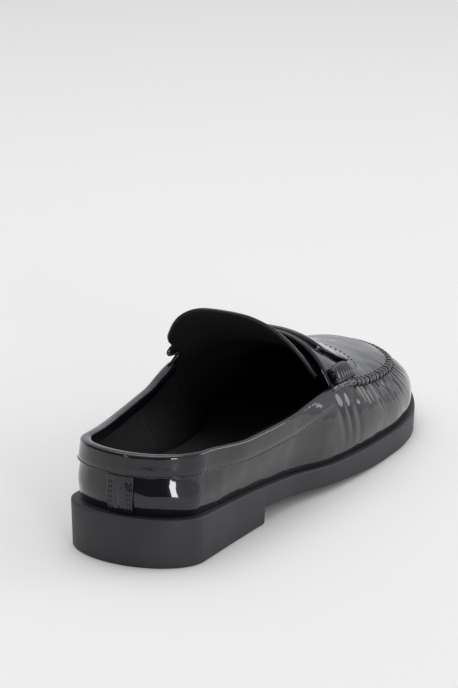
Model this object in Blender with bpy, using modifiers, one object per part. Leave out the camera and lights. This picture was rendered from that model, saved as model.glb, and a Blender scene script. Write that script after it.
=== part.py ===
"""A loafer mule for the right foot, standing empty on its sole.

Lengths are in metres, +Z is up and the toe points along +Y. The outer side of the
foot is at +X. Pieces are modelled with the back of the heel at y = 0, and one empty
then moves the whole shoe so that its bounding box stands centred on the origin.

The shoe is worked out from four driving sizes: length, ball width, instep and heel
height. Every outline runs from the back of the heel to the toe with a share t, from
0 to 1, on the lateral side (side = +1) and on the medial side (side = -1). The outer
skin of the upper is one function of t and v: v = 2 is the lateral edge on the sole,
1 the lateral rim, -1 the medial rim and -2 the medial edge on the sole. Between 1 and
-1 it crosses the instep. Every other piece of leather is laid on that skin.
"""
import math
from collections import namedtuple

import bmesh
import bpy
import numpy as np

# Driving sizes of the shoe
LENGTH = 0.266            # back of the heel to the tip of the sole
HEEL_WIDTH = 0.065        # sole across the heel
WAIST_WIDTH = 0.0662      # sole across the waist
BALL_WIDTH = 0.096        # sole across the ball
HEEL_HEIGHT = 0.0223      # top edge of the sole above the floor at the back
INSTEP_HEIGHT = 0.0690    # crest of the vamp at the throat, above the floor
TOPLINE_BACK = 0.0493     # top of the collar above the floor at the back

# Outsole
HEEL_ARC = 0.020          # depth of the rounded back
TOE_ARC = 0.058           # depth of the rounded toe
TOE_SWING = -0.005        # sideways place of the toe tip, towards the medial side
BREAST_AT = 0.072         # front face of the heel, from the back
BREAST_RAKE = 0.0008      # slant of that face
BREAST_HEIGHT = 0.0075    # underside just in front of the heel
BALL_FLAT_FROM = 0.174    # flat spot under the ball
BALL_FLAT_TO = 0.206
TOE_SPRING = 0.0085       # underside of the toe tip above the floor
SOLE_THICKNESS = 0.0112   # forepart
SOLE_TAPER = 0.0004       # the side leans in by this towards the floor
SOLE_EDGE_ROUND = 0.0008  # rounding of its top and bottom edges
ARCH_POWER = 1.2          # the arch rises slowly from the ball, then faster

# Upper
WALL = 0.0020             # leather and lining together
SEAT_GAP = 0.0003         # clearance between pieces that touch
LEDGE_BACK = 0.0050       # rim of the sole left bare behind the upper
LEDGE_SIDE = 0.0030
LEDGE_RUN = 0.0400        # length over which it narrows from the back to the side
COLLAR_BACK_AT = 0.0063   # outer face of the collar at the back
COLLAR_ARC = 0.0190       # depth of its rounded back
SEAM_FRONT_AT = 0.2400    # front of the moccasin seam
SEAM_ARC = 0.0400         # depth of its rounded front
THROAT_AT = 0.1310        # where the collar ends and the vamp closes over
THROAT_BOW = 0.0090       # the throat's middle lies this far forward of its ends
THROAT_SKEW = 0.0050      # its lateral end lies this far forward, its medial end as far back
CREST_SHIFT = 0.02        # the instep crest leans to the medial side, share of the half width
SEAM_RISE = 0.0014        # raised moccasin seam
SEAM_HALF = 0.0020        # half its width at the foot
WALL_HANDLE = 0.33        # height of the wall's curve handles, share of its rise

# Pieces laid on the upper
BAND_DEPTH = 0.0085       # collar band, outside
BAND_LIP = 0.0040         # collar band, turned down inside
BAND_THICKNESS = 0.0012
BAND_SLANT = 0.0040       # its lower front corners lie this far behind the upper ones
BAND_FOLD = (0.55, 0.85)  # corner of its fold, outwards and up, shares of its reach
STRIP_WIDTH = 0.0120
STRIP_THICKNESS = 0.0010
STRIP_FOOT = 0.03         # share of the wall left bare between the strip and the sole
APRON_THICKNESS = 0.0011
STRAP_THICKNESS = 0.0015
STRAP_REACH = 0.0420      # its front edge at the crest, ahead of the throat
STRAP_GAP = 0.0006        # its clearance above the plug
ROLL_LENGTH = 0.0185
ROLL_HEIGHT = 0.0088      # up the slope of the vamp
ROLL_THICKNESS = 0.0048
ROLL_WRAPS = 5
ROLL_GROOVE = 0.0007      # depth between the wraps
ROLL_GROOVE_TOP = 0.5     # the same on its top and underside, share of that depth
ROLL_INSET = 0.0005       # from the rim to the roll's outer edge
ROLL_END = (0.55, 0.45)   # its width and thickness at the ends, shares of the middle's
ROLL_END_SQUARE = 8       # how late its ends round off
TONGUE_THICKNESS = 0.0020
TONGUE_LENGTH = 0.0300    # behind the throat, at its longest
TONGUE_TUCK = 0.0080      # length of the tongue under the vamp
TONGUE_GAP = 0.0010       # clearance below the vamp's lining
TONGUE_SLOPE = 0.66       # its rise for each unit of length behind the throat
TONGUE_FLARE = 0.12       # its spread to each side, for the same
INSOLE_THICKNESS = 0.0035
INSOLE_TOE_LEAN = 0.0082  # its top edge lies this far inside the wall's foot at the toe
INSOLE_FOOT_LEAN = 0.25   # its lower edge takes this share of that lean

# Counts of sections and of points across them
REAR_SECTIONS = 17
FRONT_SECTIONS = 17
WALL_ROWS = 9
CREST_ROWS = 15
SOLE_SECTIONS = 34
CHORD_ROWS = 4
TONGUE_ROWS = 10
TONGUE_COLUMNS = 15
STRAP_ROWS = 7
ROLL_STATIONS = 26
ROLL_SIDES = 12
STATION_ROOM = 0.4        # nearest neighbour of the breast's sections, share of the spacing
SMOOTH_BELOW = 35         # degrees between faces that are shaded as one

# Steps in which slopes are read off the curves
OUTLINE_STEP = 1e-4
SKIN_STEP = 0.004
NEAR_RIM = 0.03
SAME_PLACE = 1e-9

# Shares of an outline taken by its rounded back, and left for its rounded toe
T_HEEL = 0.13
T_TOE = 0.74
RIM_RUN = SEAM_FRONT_AT - SEAM_ARC - COLLAR_BACK_AT - COLLAR_ARC
T_PER_METRE = (T_TOE - T_HEEL) / RIM_RUN
T_THROAT = T_HEEL + (THROAT_AT - COLLAR_BACK_AT - COLLAR_ARC) * T_PER_METRE

# Half widths of the sole, as shares of the width that each row follows
SoleRow = namedtuple("SoleRow", "along follows lateral medial")
SOLE_OUTLINE = (
    SoleRow(0.000, HEEL_WIDTH, 0.480, 0.480),
    SoleRow(0.075, HEEL_WIDTH, 0.495, 0.494),
    SoleRow(0.226, HEEL_WIDTH, 0.526, 0.509),
    SoleRow(0.357, WAIST_WIDTH, 0.559, 0.441),
    SoleRow(0.489, BALL_WIDTH, 0.465, 0.360),
    SoleRow(0.620, BALL_WIDTH, 0.501, 0.472),
    SoleRow(0.714, BALL_WIDTH, 0.503, 0.492),
    SoleRow(0.808, BALL_WIDTH, 0.472, 0.482),
    SoleRow(0.902, BALL_WIDTH, 0.425, 0.452),
    SoleRow(1.000, BALL_WIDTH, 0.390, 0.425),
)

# Top edge of the sole: share of the heel height above the underside of a flat sole
TopRow = namedtuple("TopRow", "along heel forepart")
SOLE_TOP = (
    TopRow(0.000, 1.000, 0.00),
    TopRow(0.226, 0.848, 0.00),
    TopRow(0.357, 0.710, 0.00),
    TopRow(0.489, 0.580, 0.00),
    TopRow(0.620, 0.000, 1.09),
    TopRow(0.714, 0.000, 1.03),
    TopRow(0.790, 0.000, 1.06),
)

# Rim of the upper: collar behind the throat, moccasin seam in front of it.
# Half widths are shares of the width that each row follows, heights are shares of
# the topline's height at the back (collar) or of the instep height (seam).
RimRow = namedtuple("RimRow", "along follows lateral medial rises lateral_z medial_z")
UPPER_RIM = (
    RimRow(0.024, HEEL_WIDTH, 0.415, 0.415, TOPLINE_BACK, 1.000, 1.000),
    RimRow(0.094, HEEL_WIDTH, 0.435, 0.440, TOPLINE_BACK, 0.985, 0.965),
    RimRow(0.226, HEEL_WIDTH, 0.520, 0.530, TOPLINE_BACK, 0.912, 0.912),
    RimRow(0.357, HEEL_WIDTH, 0.562, 0.590, TOPLINE_BACK, 0.909, 0.930),
    RimRow(0.489, BALL_WIDTH, 0.382, 0.434, TOPLINE_BACK, 0.941, 1.020),
    RimRow(0.564, BALL_WIDTH, 0.388, 0.428, INSTEP_HEIGHT, 0.640, 0.710),
    RimRow(0.620, BALL_WIDTH, 0.400, 0.418, INSTEP_HEIGHT, 0.590, 0.640),
    RimRow(0.695, BALL_WIDTH, 0.392, 0.398, INSTEP_HEIGHT, 0.548, 0.570),
    RimRow(0.770, BALL_WIDTH, 0.368, 0.378, INSTEP_HEIGHT, 0.525, 0.532),
    RimRow(0.846, BALL_WIDTH, 0.338, 0.354, INSTEP_HEIGHT, 0.512, 0.514),
    RimRow(0.902, BALL_WIDTH, 0.305, 0.330, INSTEP_HEIGHT, 0.505, 0.505),
)

# Crest of the vamp between the rims: height as a share of the instep height, and how
# square its arch is
CrestRow = namedtuple("CrestRow", "along height square")
VAMP_CREST = (
    CrestRow(0.500, 1.030, 3.4),
    CrestRow(0.564, 0.920, 3.1),
    CrestRow(0.620, 0.805, 2.8),
    CrestRow(0.695, 0.690, 2.5),
    CrestRow(0.770, 0.625, 2.3),
    CrestRow(0.846, 0.582, 2.2),
    CrestRow(0.902, 0.545, 2.0),
)

# Swell of the wall between sole and rim, outwards: near the sole and near the rim
SwellRow = namedtuple("SwellRow", "along low high")
WALL_SWELL = (
    SwellRow(0.000, 0.0020, 0.0010),
    SwellRow(0.226, 0.0010, 0.0010),
    SwellRow(0.357, 0.0015, 0.0025),
    SwellRow(0.489, 0.0030, 0.0060),
    SwellRow(0.620, 0.0030, 0.0075),
    SwellRow(0.808, 0.0032, 0.0090),
    SwellRow(0.902, 0.0040, 0.0115),
    SwellRow(1.000, 0.0045, 0.0130),
)

# Free edge of the tongue, from its medial root to its lateral root. Across is the skin's
# own v at the throat, back a length behind the throat as a share of the tongue's length.
EdgeRow = namedtuple("EdgeRow", "across back")
TONGUE_EDGE = (
    EdgeRow(-0.90, 0.10),
    EdgeRow(-0.88, 0.54),
    EdgeRow(-0.80, 0.70),
    EdgeRow(-0.60, 0.88),
    EdgeRow(-0.25, 1.00),
    EdgeRow(0.10, 0.97),
    EdgeRow(0.40, 0.80),
    EdgeRow(0.65, 0.54),
    EdgeRow(0.80, 0.32),
    EdgeRow(0.90, 0.08),
)

# Saddle strap across the vamp: its rear edge, with a pointed notch above each roll, and its
# front edge. Both are distances ahead of the throat, as shares of the strap's reach.
StrapRow = namedtuple("StrapRow", "across rear front")
SADDLE = (
    StrapRow(0.00, 0.15, 1.00),
    StrapRow(0.20, 0.15, 1.00),
    StrapRow(0.35, 0.16, 1.00),
    StrapRow(0.46, 0.17, 0.99),
    StrapRow(0.56, 0.19, 0.99),
    StrapRow(0.63, 0.22, 0.98),
    StrapRow(0.68, 0.28, 0.97),
    StrapRow(0.72, 0.52, 0.96),
    StrapRow(0.75, 0.74, 0.94),
    StrapRow(0.80, 0.61, 0.91),
    StrapRow(0.86, 0.52, 0.84),
    StrapRow(0.91, 0.48, 0.72),
    StrapRow(0.96, 0.47, 0.60),
)


def steady_curve(xs, ys, x):
    """Read a smooth curve through the points (xs, ys) that never overshoots them."""
    xs = np.asarray(xs, float)
    ys = np.asarray(ys, float)
    x = np.clip(np.asarray(x, float), xs[0], xs[-1])
    step = np.diff(xs)
    slope = np.diff(ys) / step
    tangent = np.zeros_like(ys)
    same_way = slope[:-1] * slope[1:] > 0
    weight_a = 2 * step[1:] + step[:-1]
    weight_b = step[1:] + 2 * step[:-1]
    with np.errstate(divide="ignore", invalid="ignore"):
        mean = (weight_a + weight_b) / (weight_a / slope[:-1] + weight_b / slope[1:])
    tangent[1:-1] = np.where(same_way, mean, 0.0)
    tangent[0] = slope[0]
    tangent[-1] = slope[-1]
    i = np.clip(np.searchsorted(xs, x, side="right") - 1, 0, len(xs) - 2)
    h = step[i]
    s = (x - xs[i]) / h
    value = (1 + 2 * s) * (1 - s) ** 2 * ys[i] + s * s * (3 - 2 * s) * ys[i + 1]
    return value + h * s * (1 - s) ** 2 * tangent[i] - h * s * s * (1 - s) * tangent[i + 1]


def column(table, value, y):
    """Read one quantity of a section table at the distances y from the heel's back."""
    along = [row.along * LENGTH for row in table]
    return steady_curve(along, [value(row) for row in table], y)


def smooth_step(low, high, x):
    """Rise from 0 at low to 1 at high with flat ends."""
    s = np.clip((np.asarray(x, float) - low) / (high - low), 0.0, 1.0)
    return s * s * (3 - 2 * s)


def plan(t, side, back, front, back_arc, front_arc, half):
    """Walk a closed plan outline: quarter-ellipse back, straight run, quarter-ellipse toe.

    half(y) gives the side's half width; both ends close it to nothing.
    """
    t = np.asarray(t, float)
    heel_turn = np.clip(t / T_HEEL, 0, 1) * math.pi / 2
    toe_turn = np.clip((t - T_TOE) / (1 - T_TOE), 0, 1) * math.pi / 2
    run = np.clip((t - T_HEEL) / (T_TOE - T_HEEL), 0, 1)
    y = back + back_arc * (1 - np.cos(heel_turn))
    y = y + run * (front - front_arc - back - back_arc)
    y = y + front_arc * np.sin(toe_turn)
    x = side * half(y) * np.sin(heel_turn)
    closing = np.cos(toe_turn)
    x = TOE_SWING * (1 - closing) + x * closing
    return x, y


def half_width(table, side):
    """Half width on one side as a function of y, read from a table of half widths."""
    def value(row):
        return row.follows * (row.lateral if side > 0 else row.medial)
    return lambda y: column(table, value, y)


def sole_outline(t, side, inset):
    """Plan outline of the sole, moved inwards by inset along its own normal."""
    t = np.asarray(t, float)
    half = half_width(SOLE_OUTLINE, side)

    def at(u):
        """Point of the outline without the inset."""
        return plan(u, side, 0.0, LENGTH, HEEL_ARC, TOE_ARC, half)

    x, y = at(t)
    xa, ya = at(np.clip(t - OUTLINE_STEP, 0, 1))
    xb, yb = at(np.clip(t + OUTLINE_STEP, 0, 1))
    dx, dy = xb - xa, yb - ya
    size = np.hypot(dx, dy)
    out_x, out_y = side * dy / size, -side * dx / size
    on_axis = (t <= 0) | (t >= 1)
    out_y = np.where(on_axis, np.where(t <= 0, -1.0, 1.0), out_y)
    out_x = np.where(on_axis, 0.0, out_x)
    return x - out_x * inset, y - out_y * inset, out_x, out_y


def toe_lift(y):
    """Rise of the sole in front of the ball, as the square of the way to the tip."""
    return TOE_SPRING * np.clip((y - BALL_FLAT_TO) / (LENGTH - BALL_FLAT_TO), 0, 1) ** 2


def sole_top(y):
    """Height of the sole's top edge."""
    def value(row):
        """Height that a row of the table stands for."""
        return row.heel * HEEL_HEIGHT + row.forepart * SOLE_THICKNESS
    return column(SOLE_TOP, value, y) + toe_lift(y)


def sole_under(y):
    """Height of the underside: flat heel, upright breast, arch, flat ball, toe spring."""
    y = np.asarray(y, float)
    arch = np.clip((BALL_FLAT_FROM - y) / (BALL_FLAT_FROM - BREAST_AT - BREAST_RAKE), 0, 1)
    under = np.where(y <= BREAST_AT, 0.0, BREAST_HEIGHT * arch ** ARCH_POWER)
    return under + toe_lift(y)


def ledge(y):
    """Width of the sole's rim left bare outside the upper."""
    return LEDGE_BACK + (LEDGE_SIDE - LEDGE_BACK) * smooth_step(0.0, LEDGE_RUN, y)


def skewed(t, side):
    """Shift t forward on the lateral side and back on the medial side near the throat."""
    straight = LENGTH - HEEL_ARC - TOE_ARC
    shift = THROAT_SKEW * (T_TOE - T_HEEL) / straight
    near = smooth_step(T_HEEL, T_THROAT, t) * (1 - smooth_step(T_THROAT, T_TOE, t))
    return t + side * shift * near


def rim(t, side):
    """Points of the upper's rim: under the collar band behind, the seam in front."""
    def rise(row):
        """Height that a row of the table stands for."""
        return row.rises * (row.lateral_z if side > 0 else row.medial_z)
    half = half_width(UPPER_RIM, side)
    x, y = plan(skewed(t, side), side, COLLAR_BACK_AT, SEAM_FRONT_AT, COLLAR_ARC, SEAM_ARC, half)
    z = column(UPPER_RIM, rise, y)
    under_band = (BAND_THICKNESS + SEAT_GAP) * (1 - smooth_step(THROAT_AT, THROAT_AT + ROLL_LENGTH, y))
    return np.stack([x, y, z - under_band], axis=-1)


def wall_skin(t, side, q):
    """Outer skin of the wall: q = 0 on the sole, q = 1 at the rim.

    Each section is a cubic curve whose two middle handles stand outwards by the swell.
    """
    t = np.asarray(t, float)
    q = np.asarray(q, float)[..., None]
    ts = skewed(t, side)
    _, y, _, _ = sole_outline(ts, side, 0.0)
    bx, by, out_x, out_y = sole_outline(ts, side, ledge(y))
    foot = np.stack([bx, by, sole_top(by) + SEAT_GAP], axis=-1)
    top = rim(t, side)
    rise = (top[..., 2] - foot[..., 2])[..., None] * np.array([0.0, 0.0, 1.0])
    outward = np.stack([out_x, out_y, np.zeros_like(out_x)], axis=-1)
    low = column(WALL_SWELL, lambda r: r.low, by)[..., None]
    high = column(WALL_SWELL, lambda r: r.high, by)[..., None]
    a = foot + outward * low + rise * WALL_HANDLE
    b = top + outward * high - rise * WALL_HANDLE
    return foot * (1 - q) ** 3 + a * 3 * q * (1 - q) ** 2 + b * 3 * q * q * (1 - q) + top * q ** 3


def arch_skin(t, v):
    """Outer skin across the instep, from the lateral rim (v = 1) to the medial (v = -1)."""
    t = np.asarray(t, float)
    v = np.asarray(v, float)
    lateral = rim(t, 1)
    medial = rim(t, -1)
    share = ((v + 1) / 2)[..., None]
    base = medial + (lateral - medial) * share
    middle = (lateral[..., 1] + medial[..., 1]) / 2
    fade = 1 - smooth_step(THROAT_AT, SEAM_FRONT_AT, middle)
    bow = THROAT_BOW * fade * (1 - v * v)
    crest_v = -CREST_SHIFT
    crest_base = medial[..., 2] + (lateral[..., 2] - medial[..., 2]) * (crest_v + 1) / 2
    crest_y = middle + THROAT_BOW * fade
    height = column(VAMP_CREST, lambda r: r.height * INSTEP_HEIGHT, crest_y)
    square = column(VAMP_CREST, lambda r: r.square, crest_y)
    lean = v + CREST_SHIFT * (1 - v * v)
    swell = (height - crest_base) * (1 - np.abs(lean) ** square)
    lift = np.stack([np.zeros_like(swell), bow, swell], axis=-1)
    return base + lift


def bare_skin(t, v):
    """Outer skin of the upper without the raised seam."""
    t, v = np.broadcast_arrays(np.asarray(t, float), np.asarray(v, float))
    over = arch_skin(t, np.clip(v, -1, 1))
    lateral = wall_skin(t, 1, np.clip(2 - v, 0, 1))
    medial = wall_skin(t, -1, np.clip(2 + v, 0, 1))
    wall = np.where((v > 0)[..., None], lateral, medial)
    return np.where((np.abs(v) > 1)[..., None], wall, over)


def skin_frame(t, v):
    """Outward normal of the skin, its direction across, and its length for a unit of v."""
    t, v = np.broadcast_arrays(np.asarray(t, float), np.asarray(v, float))
    step = SKIN_STEP
    inner = np.where(np.abs(v) >= 1, np.sign(v) * np.clip(np.abs(v), 1 + step, 2 - step),
                     np.clip(v, step - 1, 1 - step))
    across = bare_skin(t, inner + step) - bare_skin(t, inner - step)
    along = bare_skin(np.clip(t + step, 0, 1), v) - bare_skin(np.clip(t - step, 0, 1), v)
    on_axis = ((t <= 0) | (t >= 1))[..., None]
    along = np.where(on_axis, along * np.array([1.0, 0.0, 0.0]), along)
    speed = np.linalg.norm(across, axis=-1) / (2 * step)
    normal = np.cross(across, along)
    normal /= np.linalg.norm(normal, axis=-1, keepdims=True)
    across = across / np.linalg.norm(across, axis=-1, keepdims=True)
    return normal, across, speed


def seam_height(t, v):
    """Rise of the moccasin seam: a ridge along the rim, from the collar's end to the toe."""
    _, _, speed = skin_frame(t, v)
    distance = np.abs(np.abs(v) - 1) * speed
    begun = smooth_step(T_THROAT, T_THROAT + ROLL_LENGTH / 2 * T_PER_METRE, t)
    return SEAM_RISE * np.clip(1 - distance / SEAM_HALF, 0, 1) * begun


def skin(t, v, proud=0.0):
    """Point on the upper's outer skin, or standing proud of it along its normal."""
    normal, _, _ = skin_frame(t, v)
    return bare_skin(t, v) + normal * (seam_height(t, v) + proud)[..., None]


def inside_rim(t, side, distance):
    """Value of v at a distance from the rim: inwards up the vamp, or down the wall if negative."""
    towards = 1 - NEAR_RIM if distance > 0 else 1 + NEAR_RIM
    _, _, speed = skin_frame(t, np.full_like(np.asarray(t, float), side * towards))
    return side * (1 - distance / speed)


def tongue_sheet(v, back):
    """Outer face of the tongue: under the vamp where back < 0, straight up and back behind it."""
    v, back = np.broadcast_arrays(np.asarray(v, float), np.asarray(back, float))
    under = -(WALL + TONGUE_GAP)
    t = T_THROAT - np.minimum(back, 0) * T_PER_METRE
    root = skin(t, v, np.full(v.shape, under))
    rise = np.stack([v * TONGUE_FLARE, -np.ones_like(back), np.full_like(back, TONGUE_SLOPE)], axis=-1)
    return root + rise * np.maximum(back, 0)[..., None]


def sections():
    """Values of t of the upper's sections, with one exactly at the throat."""
    rear = np.linspace(0, T_THROAT, REAR_SECTIONS)
    front = T_THROAT + (1 - T_THROAT) * np.linspace(0, 1, FRONT_SECTIONS)
    return np.concatenate([rear, front[1:]])


def front_sections():
    """The sections from the throat to the last one before the tip of the seam."""
    ts = sections()
    return ts[ts >= T_THROAT - SAME_PLACE][:-1]


def make_mesh(name, points, faces):
    """Put vertices and faces in a mesh object."""
    mesh = bpy.data.meshes.new(name)
    mesh.from_pydata([tuple(float(c) for c in p) for p in points], [], faces)
    mesh.validate()
    thing = bpy.data.objects.new(name, mesh)
    for polygon in mesh.polygons:
        polygon.use_smooth = True
    mesh.set_sharp_from_angle(angle=math.radians(SMOOTH_BELOW))
    return thing


def strip_faces(rows, columns, wrap_rows=False):
    """Quads of a grid with the given rows and columns, optionally closed from last row to first."""
    last = rows if wrap_rows else rows - 1
    faces = []
    for i in range(last):
        j = (i + 1) % rows
        for k in range(columns - 1):
            faces.append((i * columns + k, j * columns + k, j * columns + k + 1, i * columns + k + 1))
    return faces


def bar_faces(stations, size):
    """Quads round a bar of closed sections, with a cap at each end."""
    faces = []
    for i in range(stations - 1):
        for k in range(size):
            m = (k + 1) % size
            here, there = i * size, (i + 1) * size
            faces.append((here + k, there + k, there + m, here + m))
    faces.append(tuple(range(size)))
    faces.append(tuple(reversed(range((stations - 1) * size, stations * size))))
    return faces


def solidify(thing, thickness, outward):
    """Give an open sheet its thickness, to the outside or to the inside of its faces."""
    modifier = thing.modifiers.new("thickness", "SOLIDIFY")
    modifier.thickness = thickness
    modifier.offset = 1.0 if outward else -1.0
    modifier.use_even_offset = True
    return thing


def panel(name, t_grid, v_grid, thickness, proud=SEAT_GAP):
    """A panel laid on the skin: a grid of (t, v) lifted by a gap, then given its thickness."""
    points = skin(t_grid, v_grid, np.full(t_grid.shape, proud))
    rows, columns = t_grid.shape
    sheet = make_mesh(name, points.reshape(-1, 3), strip_faces(rows, columns))
    return solidify(sheet, thickness, True)


def finish(thing, name, colour, roughness):
    """Give a piece its own Principled material."""
    material = bpy.data.materials.new(name)
    material.use_nodes = True
    shader = material.node_tree.nodes["Principled BSDF"]
    shader.inputs["Base Color"].default_value = (*colour, 1.0)
    shader.inputs["Roughness"].default_value = roughness
    shader.inputs["Metallic"].default_value = 0.0
    thing.data.materials.append(material)
    return thing


def sole_stations():
    """Values of t of the sole's sections, with a close pair at the breast of the heel."""
    ts = np.linspace(0, 1, SOLE_SECTIONS)
    run = LENGTH - HEEL_ARC - TOE_ARC
    pair = T_HEEL + (np.array([BREAST_AT, BREAST_AT + BREAST_RAKE]) - HEEL_ARC) / run * (T_TOE - T_HEEL)
    near = np.abs(ts - pair.mean()) < STATION_ROOM / SOLE_SECTIONS
    return np.sort(np.concatenate([ts[~near], pair]))


def slab(name, ts, rings):
    """Close a stack of outline rings into one solid: its side, a top and an underside.

    rings(side) gives an array of points for each t and each height, bottom first. The top
    and the underside are spanned by chords from the lateral to the medial edge.
    """
    lateral = rings(1)
    medial = rings(-1)[1:-1][::-1]
    ring = np.concatenate([lateral, medial])
    count, levels = ring.shape[:2]
    faces = strip_faces(count, levels, wrap_rows=True)
    points = [ring.reshape(-1, 3)]
    total = count * levels
    n = len(ts)
    shares = np.arange(1, CHORD_ROWS) / CHORD_ROWS
    for level, up in ((levels - 1, True), (0, False)):
        def edge(i, side, level=level):
            """Index of the point where section i meets this level on one side."""
            ring_at = i if side > 0 or i in (0, n - 1) else count - i
            return ring_at * levels + level
        chords = []
        for i in range(1, n - 1):
            a = lateral[i, level]
            b = medial[len(medial) - i, level]
            inner = a + (b - a) * shares[:, None]
            points.append(inner)
            ids = list(range(total, total + len(shares)))
            total += len(shares)
            chords.append([edge(i, 1), *ids, edge(i, -1)])
        patches = []
        for first, second in zip(chords, chords[1:]):
            for k in range(CHORD_ROWS):
                patches.append((first[k], second[k], second[k + 1], first[k + 1]))
        for k in range(CHORD_ROWS):
            patches.append((edge(0, 1), chords[0][k], chords[0][k + 1]))
            patches.append((chords[-1][k], edge(n - 1, 1), chords[-1][k + 1]))
        faces += patches if up else [tuple(reversed(face)) for face in patches]
    return make_mesh(name, np.concatenate(points), faces)


def build_outsole():
    """One moulded unit: heel and forepart with an upright, slightly tapered side."""
    ts = sole_stations()

    def rings(side):
        """Floor line, two rounded edges and top line of one side."""
        bare = sole_outline(ts, side, 0.0)[1]
        low, high = sole_under(bare), sole_top(bare)
        levels = []
        for inset, z in (
            (SOLE_TAPER + SOLE_EDGE_ROUND, low),
            (SOLE_TAPER, low + SOLE_EDGE_ROUND),
            (0.0, high - SOLE_EDGE_ROUND),
            (SOLE_EDGE_ROUND, high),
        ):
            x, y, _, _ = sole_outline(ts, side, inset)
            levels.append(np.stack([x, y, z], axis=-1))
        return np.stack(levels, axis=1)
    sole = slab("outsole", ts, rings)
    return finish(sole, "moulded_rubber", (0.012, 0.012, 0.013), 0.55)


def build_upper():
    """The hollow shell: a wall all round, closed over the forefoot, open at collar and sole."""
    ts = sections()
    n = len(ts)
    qs = np.linspace(0, 1, WALL_ROWS)

    def side_columns(side):
        """Points of one side's wall, from the sole to the rim, with one at the seam's foot."""
        t = np.repeat(ts[:, None], WALL_ROWS + 1, axis=1)
        v = np.empty_like(t)
        v[:, :-2] = side * (2 - qs[:-1])
        v[:, -2] = inside_rim(ts, side, -SEAM_HALF)
        v[:, -1] = side
        return skin(t, v)
    lateral = side_columns(1)
    medial = side_columns(-1)[1:-1][::-1]
    ring = np.concatenate([lateral, medial])
    count, rows = ring.shape[:2]
    faces = strip_faces(count, rows, wrap_rows=True)
    points = [ring.reshape(-1, 3)]
    total = count * rows
    strips = []
    for i in np.flatnonzero(ts >= T_THROAT - SAME_PLACE)[:-1]:
        v = arch_values(ts[i])
        inner = skin(np.full_like(v, ts[i]), v)
        points.append(inner)
        ids = list(range(total, total + len(v)))
        total += len(v)
        strips.append([i * rows + rows - 1, *ids, (count - i) * rows + rows - 1])
    for first, second in zip(strips, strips[1:]):
        for k in range(len(first) - 1):
            faces.append((first[k], second[k], second[k + 1], first[k + 1]))
    tip = (n - 1) * rows + rows - 1
    for k in range(len(strips[-1]) - 1):
        faces.append((strips[-1][k], tip, strips[-1][k + 1]))
    upper = make_mesh("upper", np.concatenate(points), faces)
    solidify(upper, WALL, False)
    return finish(upper, "patent_leather", (0.010, 0.010, 0.012), 0.12)


def arch_values(t):
    """Values of v inside the rims for one section: a foot of the seam at each end."""
    ends = [float(inside_rim(np.array([t]), side, SEAM_HALF)[0]) for side in (1, -1)]
    even = np.linspace(0, 1, CREST_ROWS)
    closer = (even + (1 - np.cos(even * math.pi)) / 2) / 2
    return ends[0] + (ends[1] - ends[0]) * closer


def build_apron():
    """The plug: a panel on the vamp, inside the raised seam."""
    ts = front_sections()
    v = np.stack([arch_values(t) for t in ts])
    t = np.repeat(ts[:, None], v.shape[1], axis=1)
    apron = panel("apron", t, v, APRON_THICKNESS)
    return finish(apron, "apron_patent", (0.011, 0.011, 0.013), 0.12)


def build_collar_band():
    """The folded band: a U-shaped section over the rim, from one roll round the back to the other."""
    ts = sections()
    ts = ts[ts <= T_THROAT + SAME_PLACE]
    ts = np.append(ts[:-1], T_THROAT - SEAT_GAP * 2 * T_PER_METRE)
    inner = SEAT_GAP
    outer = SEAT_GAP + BAND_THICKNESS
    corner_out, corner_up = (share * outer for share in BAND_FOLD)
    slant = BAND_SLANT * T_PER_METRE * smooth_step(ts[-3], ts[-1], ts)
    shares = np.array([1.0, 0.75, 0.5, 0.25])

    def side_columns(side):
        """Sections of one side: down the outside, back up, over the rim and down the lining."""
        normal, across, _ = skin_frame(ts, np.full_like(ts, side * (1 + NEAR_RIM)))
        top = skin(ts, np.full_like(ts, float(side)))
        up = -across * side

        def over(away, rise):
            """Point round the rim: away from the wall's face, and a rise above the rim."""
            return top + normal * away + up * rise

        def below(share, away):
            """Point on the outside at a share of the band's depth."""
            t = ts - slant * share
            return skin(t, inside_rim(t, side, -BAND_DEPTH * share), np.full_like(ts, away))

        def lining(share, away):
            """Point on the inside at a share of the lip's depth."""
            return skin(ts, inside_rim(ts, side, -BAND_LIP * share), np.full_like(ts, -WALL - away))
        points = [below(1.0, inner)]
        points += [below(share, outer) for share in shares]
        points += [
            over(outer, 0.0), over(corner_out, corner_up), over(-WALL / 2, outer),
            over(-WALL - corner_out, corner_up), over(-WALL - outer, 0.0),
            lining(0.5, outer), lining(1.0, outer), lining(1.0, inner), lining(0.5, inner),
            over(-WALL - inner, inner), over(inner, inner),
        ]
        points += [below(share, inner) for share in shares[:0:-1]]
        return np.stack(points, axis=1)
    loop = np.concatenate([side_columns(-1)[1:][::-1], side_columns(1)])
    band = make_mesh("collar_band", loop.reshape(-1, 3), bar_faces(*loop.shape[:2]))
    outwards(band)
    return finish(band, "collar_patent", (0.012, 0.012, 0.014), 0.14)


def build_heel_strip():
    """The upright strip up the back, from the sole to the collar band."""
    ts = sections()
    ts = ts[ts < T_HEEL]
    reach = np.linspace(0.0, 1.0, 3)
    half = STRIP_WIDTH / 2
    edge_t = np.interp(half, rim_girth(ts), ts)
    v_low = 2.0 - STRIP_FOOT
    v_high = float(inside_rim(np.array([0.0]), 1, -(BAND_DEPTH + SEAT_GAP))[0])
    rows = np.linspace(v_low, v_high, WALL_ROWS)
    across = np.concatenate([-reach[1:][::-1], reach]) * edge_t
    t_grid = np.repeat(np.abs(across)[:, None], len(rows), axis=1)
    v_grid = np.where(across >= 0, 1.0, -1.0)[:, None] * rows[None, :]
    strip = panel("heel_strip", t_grid, v_grid, STRIP_THICKNESS)
    return finish(strip, "strip_patent", (0.011, 0.011, 0.013), 0.12)


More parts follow.
